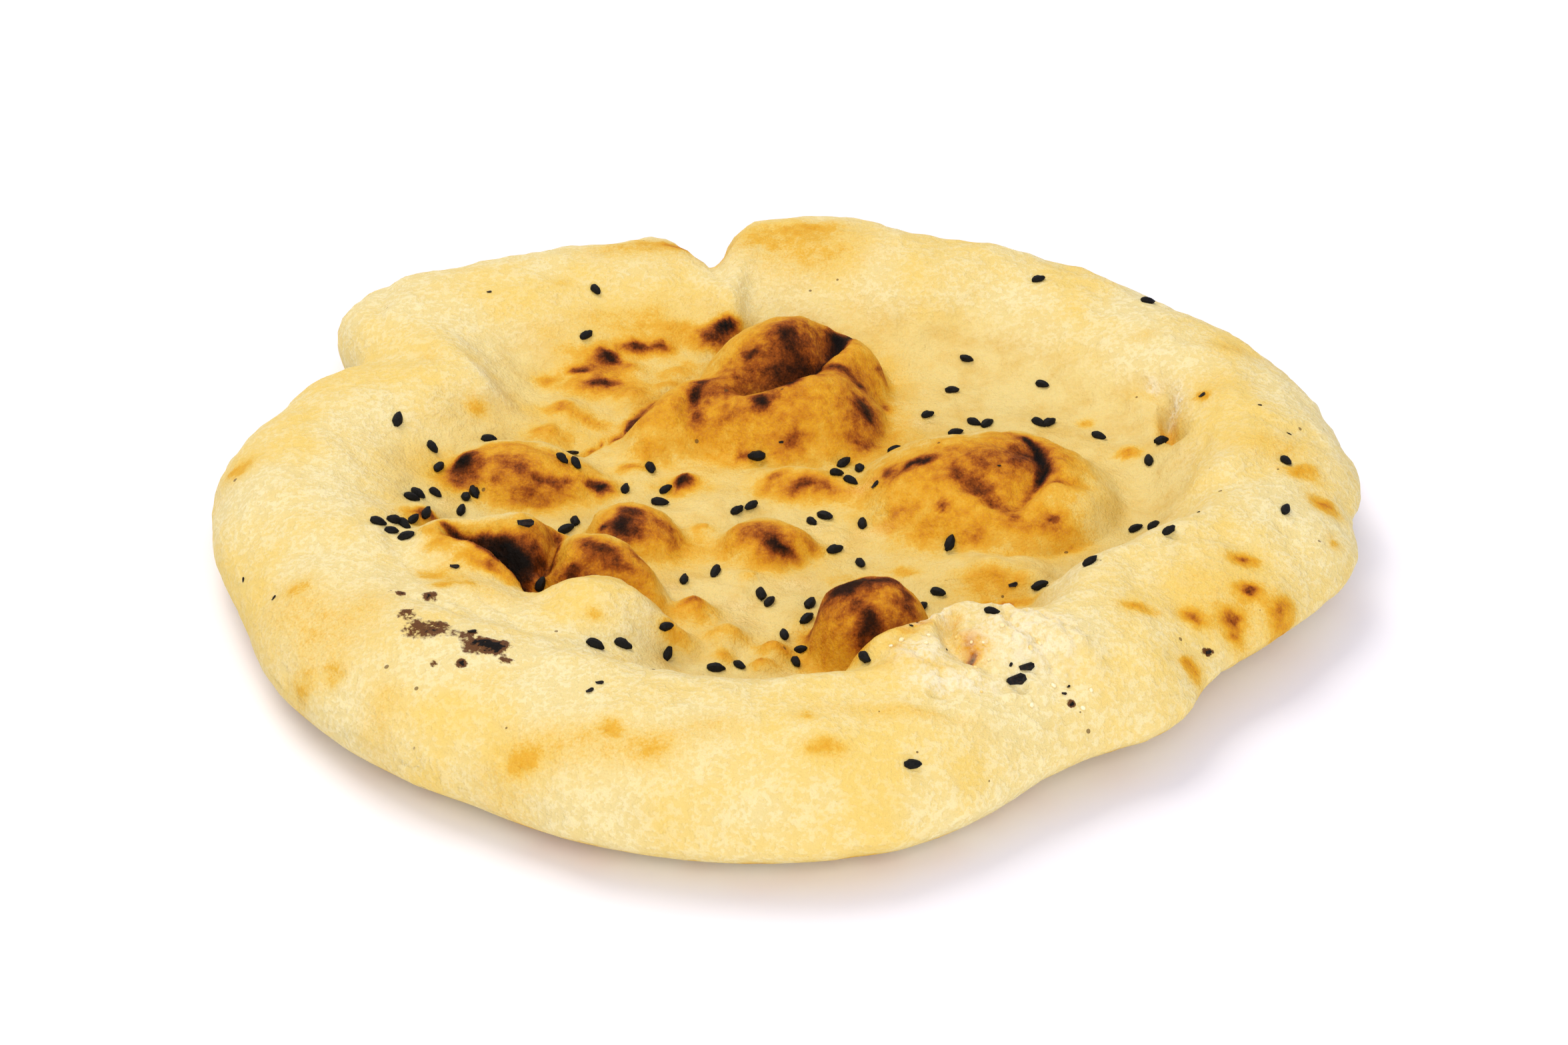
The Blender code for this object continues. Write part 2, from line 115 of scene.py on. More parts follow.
breadForm = dict(
    halfWidth=104.0,      # plain oval of the outline, left to right
    halfDepth=98.0,       # plain oval of the outline, front to back
    floorHeight=11.0,     # thickness of the dished middle
    gridSteps=101,        # divisions along each side of the rounded cube
    topShare=0.84,        # share of the faces that make the top
    crestShare=0.78,      # share of the way out at which the rim's crest lies
    underShare=0.70,      # share of the way out at which the flat underside ends
    sectionReach=15.0,    # angle over which one rim section gives way to the next
    liftReach=22.0,       # width of the underside's outer band that lifts
    narrowLobe=5.5,       # lobes with a smaller half angle stay out of the dish
    innerBend=1.05,       # how the inner slope bends, 1 for an even wave
    blisterFoot=1.15,     # how far a blister spreads, as a share of its radius
    relaxing=0.5,         # smoothing that takes the grid's marks off steep walls
    relaxRounds=5,
)

# Lobes and notches of the outline: azimuth, half angle, how far out.
outlineLobes = [
    (20, 12, 1.5), (36, 9, -2.5), (71, 9, -4.5),    # right of the back
    (100, 3.7, -14.0), (110, 6, -2.5),              # notch between the two back lobes
    (138, 9, 11.0), (151, 4.2, -9.0), (160, 8, -3.0),   # the ear and the corner under it
    (198, 10, -3.0), (238, 7, -1.0), (262, 22, 2.0),    # left and front
    (303, 15, -10.5), (326, 10, -11.0),             # the flat side at the front right
    (339, 7, -3.5), (356, 5, -2.5),
]

# Sections through the rim: azimuth, height of the crest, how far the crest and
# the foot of the inner slope lie inside the outline, height of the widest line,
# how far the underside is drawn in, how far the edge lifts off the table, and
# how round the outer side is (2 round, less is flatter).
rimSections = [
    (0, 22, 20, 42, 11, 16, 4.0, 1.7),
    (25, 21, 16, 42, 10, 14, 1.0, 2),
    (50, 20, 14, 48, 9, 12, 0.5, 2),
    (75, 23, 14, 52, 10, 12, 0.0, 2),
    (99, 21, 12, 55, 8, 12, 0.0, 2),
    (118, 21, 14, 52, 9, 12, 0.0, 2),
    (145, 20, 24, 52, 8, 12, 0.0, 2),
    (170, 20, 18, 46, 8, 12, 0.5, 2),
    (200, 21, 20, 46, 8.5, 13, 1.0, 2),
    (228, 23, 22, 48, 9, 14, 1.5, 2),
    (255, 24, 24, 46, 9.5, 15, 1.0, 2),
    (285, 24, 25, 45, 9.5, 15, 1.5, 2),
    (312, 24, 22, 37, 10.5, 14, 4.5, 1.65),
    (330, 23, 26, 40, 11.5, 14, 6.0, 1.6),
    (345, 22, 26, 42, 11.5, 15, 5.0, 1.6),
]

# Swellings: middle, half sizes, turn, top above the floor, how far the round
# form reaches below it, width of the join, squareness of the plan, and slope of
# the sides (0.5 steep and round, 1 like a low hill).
swellings = [
    # the big collapsed bubble behind the middle: body, back roll and left tail
    ((0.2, 28.5), (18.2, 15.5), 0, 11.5, 3, 5, 2, 0.6),
    ((1.2, 41), (18, 12.5), 8, 14.3, 3, 5, 2, 0.5),
    ((-16, 28.5), (18, 9), 40, 8.2, 2, 5, 2, 0.6),
    # the broad bubble on the right and the small roll at its edge
    ((36.5, 2), (24, 20), -10, 10.2, 2, 4, 2, 0.65),
    ((24, 10.5), (7.5, 3.6), 38, 5.5, 0.5, 1.5, 2, 0.7),
    # the burst pocket at the front left: back ridge, right lobe, front lobe
    # and the crust between that and the rim
    ((-52.5, -25.5), (19.5, 12.3), -1, 11.6, 3, 3, 2.6, 0.5),
    ((-33, -30.5), (14.5, 10.5), -35, 11.2, 3, 3, 2, 0.55),
    ((-33, -43.8), (13.8, 9.6), -5, 11.7, 3, 6, 2, 0.5),
    ((-37, -51), (17, 10), -12, 9.5, 3, 6, 2, 0.7),
    ((-52.5, -42), (18, 12), -30, 10, 3, 7, 2, 0.75),
    # the scorched dome by the front rim
    ((14.4, -43.5), (11, 10.2), 0, 12.7, 3, 1.5, 2, 0.43),
    # the crumb heaped up beside the flap's curl
    ((44.5, -59), (12.5, 8.5), -32, 13.3, 3, 5, 2, 0.8),
    # smaller domes in the dish
    ((-27, -11.5), (9.2, 8.2), 0, 5.8, 1.2, 1.8, 2, 0.5),
    ((-3.8, -13.8), (8.6, 7), -8, 4.5, 1.2, 1.8, 2, 0.52),
    ((-48, 10), (14, 10), -10, 4.8, 1.5, 2.5, 2, 0.6),
    ((4, 6), (11, 5), -20, 3.2, 1, 3, 2, 0.8),
    ((36, -23), (11, 6), -10, 2.6, 1, 3, 2, 0.8),
]

# The torn flap, folded over the front rim: its free edge from left to right,
# its top above the floor, the width of the edge's round drop, how far back it
# stays level, and how far it takes to sink into the rim after that.
flap = dict(
    edge=[(3, -70), (9, -62), (16, -56.5), (22.5, -52), (28.5, -47.3), (35, -48), (42, -50.8),
          (49, -55.5), (55, -62)],
    top=14, drop=4.5, level=11, sink=15, ends=0.22, sunk=2, join=1.5)

# Small blisters: x, y, radius, height.
blisters = [
    (-19, 7.5, 3.2, 2.2), (-33, 6, 2.6, 1.8), (-64, -9.5, 6, 3.2), (-34, 8.5, 2.5, 1.2),
    (-16, -34.5, 4.4, 4), (-10, -42.5, 4.6, 3), (-18.5, -45.5, 4, 3.4), (-2, -46, 3.8, 3),
    (-35, 48, 4, 1.8), (-36, 41, 5, 1.6), (-40, 45.5, 2.6, 1.2), (-29.5, 52, 3, 1.2),
    (-24, 52, 2.6, 1.4), (-12, 55.5, 4.6, 3.4), (-29.5, 45, 3, 1.4), (-41, 31, 5, 1.6),
    (63, 17, 3, 1.2), (-58.5, 10, 4.2, 2), (43, -27.5, 4, 2.2), (9.5, -26, 3, 1.4),
    (3.8, -14.8, 4, 1.5), (-13, -36, 3, 0.8), (-11, -49, 2.8, 2.2), (-4.2, -51, 2.6, 2),
    (-15.2, -7.6, 2.2, 1.4), (-6.5, -24.2, 2.8, 1.2), (-28, 12.2, 2.6, 1.4), (-25.5, 15.8, 3.2, 1.4),
    (-44, 23, 5, 1.6), (-29.5, 35.8, 3.2, 1.4), (-21, 44.5, 3.6, 1.4), (-23, 40, 2.8, 1.2),
]

# Creases where the crust folds in: points, depth, width of the round wall on
# the right of the line's direction and on its left, share of each end that
# runs out, and how far the sharp bottom is opened.
creases = [
    # the curled hollow and the tail's valley of the big bubble
    ([(13.5, 50), (10, 44.5), (6.3, 37.5), (2.3, 31.8), (-2.5, 28.8), (-8.5, 29), (-12.5, 31)],
     8, 7, 7, 0.25, 1),
    ([(-15, 30.5), (-17.5, 25), (-19.5, 18)], 2.5, 4, 4, 0.3, 1),
    # the pit of the bubble on the right, and the folds that meet in it
    ([(43.2, 12), (45.2, 6.5), (46.6, 0.2), (44.2, -4.5), (41, -9.5), (39, -14)], 3.6, 9, 3, 0.25, 0.8),
    ([(39.6, -12), (36.2, -9.5), (32.5, -6.5), (28, -5)], 1.8, 6, 2, 0.3, 0.8),
    ([(46, -1.5), (50, -3.6), (56, -1.5)], 1.4, 1.8, 6, 0.3, 0.8),
    ([(36, 6.5), (40.5, 4.5), (45, 5)], 1.3, 4, 2, 0.3, 0.8),
    # the pocket: its pit, and the three creases that meet in it
    ([(-61.5, -22.5), (-56, -24.5), (-50, -28.5), (-45, -33), (-41, -37.5)], 9, 3, 10.5, 0.25, 1),
    ([(-40.3, -17), (-40.8, -22), (-41.5, -27), (-42.5, -32)], 6, 4.5, 4.5, 0.2, 1),
    ([(-44.5, -32.5), (-38.5, -34.5), (-32, -35), (-26, -37), (-21, -41)], 3.5, 3, 4.5, 0.25, 1),
    ([(-44.5, -32.5), (-42, -36.5), (-39.5, -40)], 2.2, 2.6, 3, 0.25, 0.8),
    # the valley that runs in from the notch, and the fold of the ear
    ([(-20, 98), (-17.5, 84), (-14, 72), (-12, 60)], 3.5, 9, 9, 0.3, 2),
    ([(-74, 84), (-77.5, 74), (-78.5, 62), (-78, 51)], 1.8, 5, 2, 0.3, 1),
    # the tear and the soft ridge's foot in the right wall of the dish
    ([(65, 35), (70, 30), (71.5, 22), (72, 14)], 3, 7, 4, 0.3, 1),
    ([(67, -10), (77, -8), (87, -1), (97, 12)], 1.6, 9, 9, 0.3, 2),
    # the curl in the torn flap, and its lower lip
    ([(29, -53), (26, -58), (26.5, -63), (30, -66.5), (34, -69)], 2.4, 2.5, 6, 0.25, 0.8),
    ([(18, -75), (28, -76), (36, -75), (43, -72), (48, -66)], 0.6, 1.5, 5, 0.25, 0.8),
    # wrinkles in the rim below the pocket
    ([(-62, -45), (-55, -47), (-50, -52), (-46, -56)], 0.9, 3, 4, 0.3, 1),
]

# Soft unevenness of the crust: name, size of the lumps, their height.
lumps = [("broadLumps", 26.0, 2.6), ("smallLumps", 9.0, 1.1)]
# What only the finished crust has: puckered skin, bubbly char and torn crumb.
puckers = [("dents", 6.5, 1.1), ("puckers", 3.0, 0.5), ("finePuckers", 1.6, 0.24)]
charGrains = [("charBlisters", 2.2, 0.5), ("charGrains", 1.1, 0.35)]
tornGrains = [("tornLumps", 3.4, 1.6), ("tornGrains", 1.5, 1.1)]


def smoothMaximum(a, b, width):
    share = np.clip(0.5 + 0.5 * (b - a) / width, 0, 1)
    return a * (1 - share) + b * share + width * share * (1 - share)


def angleBetween(a, b):
    return (a - b + 180) % 360 - 180


# Distance from the middle to the edge, without lobes below a half angle.
def outlineRadius(azimuth, narrowest=0):
    a = np.radians(azimuth)
    wide, deep = breadForm["halfWidth"], breadForm["halfDepth"]
    radius = wide * deep / np.hypot(deep * np.cos(a), wide * np.sin(a))
    for middle, halfAngle, out in outlineLobes:
        if halfAngle >= narrowest:
            radius = radius + out * np.exp(-(angleBetween(azimuth, middle) / halfAngle) ** 2)
    return radius


# The rim's seven sizes at each azimuth, between the listed sections.
def rimSection(azimuth):
    reach = breadForm["sectionReach"]
    weights = [np.exp(-(angleBetween(azimuth, row[0]) / reach) ** 2) for row in rimSections]
    total = sum(weights)
    return [sum(w * row[k] for w, row in zip(weights, rimSections)) / total for k in range(1, 8)]


# The dish's floor, gently waved: a short wave and a long one.
def floorHeight(x, y):
    wave = 0.8 * np.sin(x / 17 + 0.6) * np.cos(y / 14) - 0.6 * np.cos(x / 31 - 0.4)
    return breadForm["floorHeight"] + wave


# Height of the plain rim and dish.
def bowlHeight(x, y):
    azimuth = np.degrees(np.arctan2(y, x))
    edge = outlineRadius(azimuth)
    inside = edge - np.hypot(x, y)
    crest, crestIn, footIn, widest, _, _, roundness = rimSection(azimuth)
    out = np.clip(1 - inside / crestIn, 0, 1)
    outer = widest + (crest - widest) * (1 - out ** roundness) ** (1 / roundness)
    t = (inside - crestIn) / (footIn - crestIn)
    # narrow lobes run out on the inner slope, before two thirds of the way down
    softEdge = outlineRadius(azimuth, breadForm["narrowLobe"]) - edge
    t = np.clip(t + softEdge * smoothStep(1.5 * t) / (footIn - crestIn), 0, 1)
    floor = floorHeight(x, y)
    inner = floor + (crest - floor) * (0.5 + 0.5 * np.cos(np.pi * t ** breadForm["innerBend"]))
    return np.where(inside < crestIn, outer, inner)


# Coordinates along and across something turned about its own middle.
def ownAxes(x, y, middle, turn=0):
    a = math.radians(turn)
    along = (x - middle[0]) * math.cos(a) + (y - middle[1]) * math.sin(a)
    across = (y - middle[1]) * math.cos(a) - (x - middle[0]) * math.sin(a)
    return along, across


def raiseSwelling(z, x, y, middle, halfSizes, turn, top, sunk, join, square, slope):
    u, v = ownAxes(x, y, middle, turn)
    inside = 1 - np.abs(u / halfSizes[0]) ** square - np.abs(v / halfSizes[1]) ** square
    cap = breadForm["floorHeight"] - sunk + (top + sunk) * np.sign(inside) * np.abs(inside) ** slope
    return smoothMaximum(z, cap, join)


# A smooth line through a few points.
def smoothLine(points, steps=6):
    p = np.array(points, float)
    p = np.vstack([2 * p[0] - p[1], p, 2 * p[-1] - p[-2]])
    line = []
    for a, b, c, d in zip(p, p[1:], p[2:], p[3:]):
        for t in np.arange(steps) / steps:
            line.append(0.5 * (2 * b + (c - a) * t + (2 * a - 5 * b + 4 * c - d) * t ** 2
                               + (3 * b - a - 3 * c + d) * t ** 3))
    line.append(p[-2])
    return np.array(line)


# Distance to a line, share of its length at the nearest point, and the side.
def nearestOnLine(x, y, line):
    runs = np.hypot(*(line[1:] - line[:-1]).T)
    starts = np.concatenate([[0], np.cumsum(runs)])
    nearest = np.full(x.shape, np.inf)
    share = np.zeros(x.shape)
    side = np.ones(x.shape)
    for a, b, run, start in zip(line, line[1:], runs, starts):
        along = (b - a) / run
        s = np.clip((x - a[0]) * along[0] + (y - a[1]) * along[1], 0, run)
        distance = np.hypot(x - a[0] - s * along[0], y - a[1] - s * along[1])
        closer = distance < nearest
        nearest = np.where(closer, distance, nearest)
        share = np.where(closer, (start + s) / starts[-1], share)
        side = np.where(closer, np.sign(along[0] * (y - a[1]) - along[1] * (x - a[0])), side)
    return nearest, share, side


# A shelf of crust with a round free edge, which dies away towards the rim.
def raiseFlap(z, x, y, edge, top, drop, level, sink, ends, sunk, join):
    distance, share, side = nearestOnLine(x, y, smoothLine(edge))
    inside = -side * distance
    rise = np.sign(inside) * np.sqrt(1 - (1 - np.clip(np.abs(inside) / drop, 0, 1)) ** 2)
    fade = smoothStep(share / ends) * smoothStep((1 - share) / ends)
    fade = fade * (1 - smoothStep((inside - level) / sink))
    cap = breadForm["floorHeight"] - sunk + (top + sunk) * rise * fade
    return smoothMaximum(z, cap, join)


# A fold with a round wall on each side, running out at both ends.
def pressCrease(z, x, y, points, depth, right, left, ends, openBy):
    distance, share, side = nearestOnLine(x, y, smoothLine(points))
    distance = np.hypot(distance, openBy) - openBy
    wall = np.clip(1 - distance / np.where(side > 0, left, right), 0, 1)
    fade = smoothStep(share / ends) * smoothStep((1 - share) / ends)
    return z - depth * fade * (1 - np.sqrt(1 - wall ** 2))


def addRelief(z, x, y):
    for swelling in swellings:
        z = raiseSwelling(z, x, y, *swelling)
    z = raiseFlap(z, x, y, **flap)
    for crease in creases:
        z = pressCrease(z, x, y, *crease)
    for middleX, middleY, radius, height in blisters:
        out = np.hypot(x - middleX, y - middleY) / radius
        z = z + height * (1 - smoothStep(out / breadForm["blisterFoot"]))
    return z


# Where each point of the unit sphere goes on the bread, evenly by area.
def breadPoints(directions):
    topShare, crestShare = breadForm["topShare"], breadForm["crestShare"]
    underShare, liftReach = breadForm["underShare"], breadForm["liftReach"]
    lowShare = (1 - directions[:, 2]) / 2
    azimuth = np.degrees(np.arctan2(directions[:, 1], directions[:, 0]))
    cosine, sine = np.cos(np.radians(azimuth)), np.sin(np.radians(azimuth))
    edge = outlineRadius(azimuth)
    crest, crestIn, _, widest, underIn, lift, roundness = rimSection(azimuth)

    out = np.sqrt(np.clip(lowShare / topShare, 0, 1))
    bend = np.clip((out - crestShare) / (1 - crestShare), 0, 1) * np.pi / 2
    plain = outlineRadius(azimuth, breadForm["narrowLobe"])
    innerEdge = plain + (edge - plain) * smoothStep(out / crestShare)
    r = np.where(out < crestShare, out / crestShare * (innerEdge - crestIn),
                 edge - crestIn * (1 - np.sin(bend) ** (2 / roundness)))
    x, y = r * cosine, r * sine
    z = np.where(out < crestShare, bowlHeight(x, y),
                 widest + (crest - widest) * np.abs(np.cos(bend)) ** (2 / roundness))
    top = np.stack([x, y, addRelief(z, x, y)], 1)

    out = np.sqrt(np.clip((1 - lowShare) / (1 - topShare), 0, 1))
    bend = np.clip((out - underShare) / (1 - underShare), 0, 1) * np.pi / 2
    r = np.where(out < underShare, out / underShare * (edge - underIn),
                 edge - underIn * (1 - np.sin(bend)))
    z = np.where(out < underShare, 0, widest * (1 - np.cos(bend)))
    z = z + lift * smoothStep((r - edge + underIn + liftReach) / liftReach) * (1 - z / widest)
    under = np.stack([r * cosine, r * sine, z], 1)
    return np.where((lowShare <= topShare)[:, None], top, under)


def readPoints(mesh):
    points = np.empty(len(mesh.vertices) * 3)
    mesh.vertices.foreach_get("co", points)
    return points.reshape(-1, 3)


def writePoints(mesh, points):
    mesh.vertices.foreach_set("co", np.ascontiguousarray(points, float).ravel())
    mesh.update()


# Uneven crust where the group's weight is: rows of name, size and height.
def addLumps(bread, rows, groupName):
    for name, size, height in rows:
        texture = bpy.data.textures.new(name, "CLOUDS")
        texture.noise_scale = size * mm
        texture.noise_depth = 1
        applyModifier(bread, "DISPLACE", texture=texture, texture_coords="LOCAL",
                      strength=height * mm, vertex_group=groupName)


def makeBread():
    # a cube cut into an even grid and blown up to a unit sphere, then shaped
    bpy.ops.mesh.primitive_cube_add(size=2)
    bread = bpy.context.object
    bread.name = bread.data.name = "bread"
    startEditing()
    bpy.ops.mesh.subdivide(number_cuts=breadForm["gridSteps"] - 1)
    bpy.ops.object.mode_set(mode="OBJECT")
    even = np.tan(readPoints(bread.data) * math.pi / 4)
    directions = even / np.linalg.norm(even, axis=1)[:, None]
    writePoints(bread.data, breadPoints(directions) * mm)

    # all of the top is uneven, and none of the flat underside
    heights = readPoints(bread.data)[:, 2] / (breadForm["floorHeight"] * mm)
    crust = bread.vertex_groups.new(name="crust")
    for index, weight in enumerate(np.clip(heights, 0, 1) ** 2):
        crust.add([index], weight, "REPLACE")
    addLumps(bread, lumps, "crust")
    applyModifier(bread, "SMOOTH", factor=breadForm["relaxing"], iterations=breadForm["relaxRounds"],
                  vertex_group="crust")
    return bread


# Fine folds of the finished crust: points, depth and half width. Minus is a ridge.
fineFolds = [
    # the curl of the torn flap, and the torn crumb round it
    ([(27.8, -53.5), (27, -58.6), (27.4, -62.7), (29.8, -65.2)], 1.3, 0.9),
    ([(30.2, -61.5), (30.1, -63), (30.1, -65)], 0.9, 0.7), ([(30.6, -64.5), (33.4, -68)], 1.0, 0.9),
    ([(35, -53), (37.4, -57), (39.7, -59.7), (42.4, -61.5), (43.6, -65)], 1.1, 1.0),
    ([(32.5, -54.5), (34.8, -58), (38, -61.5), (40.5, -64.5)], -0.7, 1.1),
    ([(24, -75.5), (29, -73.4), (34, -71.6), (39, -70.4)], 0.9, 0.9),
    ([(22, -70), (27, -69.5), (31.5, -69)], -0.6, 1.3),
    ([(24.5, -56), (24.3, -60), (25, -64.5)], -0.6, 1.0),
    ([(45.5, -58), (47.5, -62), (47, -67)], 0.7, 0.8), ([(15, -66), (19, -62), (22.5, -57.5)], 0.5, 0.9),
    ([(40, -52.5), (44.5, -55), (49, -59)], 0.8, 0.9),
    # wrinkles beside the pocket, on the rim and in the dish
    ([(-64.5, -45.5), (-59, -47.5), (-55, -51.5)], 0.6, 0.9),
    ([(-50.5, -46), (-47, -50), (-44, -55)], 0.6, 1.0),
    ([(-38, -62), (-30, -62.5), (-22, -66)], 0.5, 1.1), ([(-10, -66), (-2, -67.5), (8, -67)], 0.5, 1.2),
    ([(12, -72), (22, -78), (34, -80)], 0.5, 1.1), ([(84, 14), (90, 10), (97, 9)], 0.8, 1.0),
    ([(62, -31), (70, -27), (78, -27)], 0.5, 1.2), ([(-20, -30), (-10, -32), (-2, -36)], 0.6, 1.2),
    ([(-14, -22), (-8, -26), (0, -27)], 0.6, 1.2), ([(6, -4), (12, -9), (11, -14)], 0.6, 1.1),
    ([(-38, 17), (-35, 20.5), (-31, 24), (-28, 26.5)], 1.5, 0.7),
    ([(30, 45), (24, 52), (22, 60)], 0.6, 1.4),
    ([(-45.5, 3.5), (-42, 4.2), (-39, 4)], 0.6, 0.7), ([(-50, 6), (-46, 4.8), (-43, 3)], 0.4, 0.8),
    ([(62, 30), (66, 33), (70.5, 31), (72, 25)], 1.0, 1.0), ([(71, 26), (70.5, 21), (72, 16)], 3.0, 1.5),
]

foldForm = dict(
    finePlaces=[(33, -63, 19, 13), (-46, -31, 22, 13)],   # middle and reach of the finer mesh
    fineAbove=12,     # its lowest height
    foldAbove=9,      # height at which the folds start
    foldFade=3,       # height over which they reach their depth
)


def foldFinely(bread):
    startEditing("DESELECT")
    bpy.ops.object.mode_set(mode="OBJECT")
    for face in bread.data.polygons:
        x, y = face.center.x / mm, face.center.y / mm
        face.select = face.center.z > foldForm["fineAbove"] * mm and any(
            math.hypot((x - middleX) / reachX, (y - middleY) / reachY) < 1
            for middleX, middleY, reachX, reachY in foldForm["finePlaces"])
    bpy.ops.object.mode_set(mode="EDIT")
    bpy.ops.mesh.subdivide(number_cuts=1)
    bpy.ops.object.mode_set(mode="OBJECT")
    points = readPoints(bread.data) / mm
    for line, depth, halfWidth in fineFolds:
        distance = nearestOnLine(points[:, 0], points[:, 1], smoothLine(line))[0]
        share = smoothStep((points[:, 2] - foldForm["foldAbove"]) / foldForm["foldFade"])
        points[:, 2] -= depth * np.exp(-(distance / halfWidth) ** 2) * share
    writePoints(bread.data, points * mm)


bread = makeBread()
foldFinely(bread)
print("bread shaped,", len(bread.data.polygons), "faces")


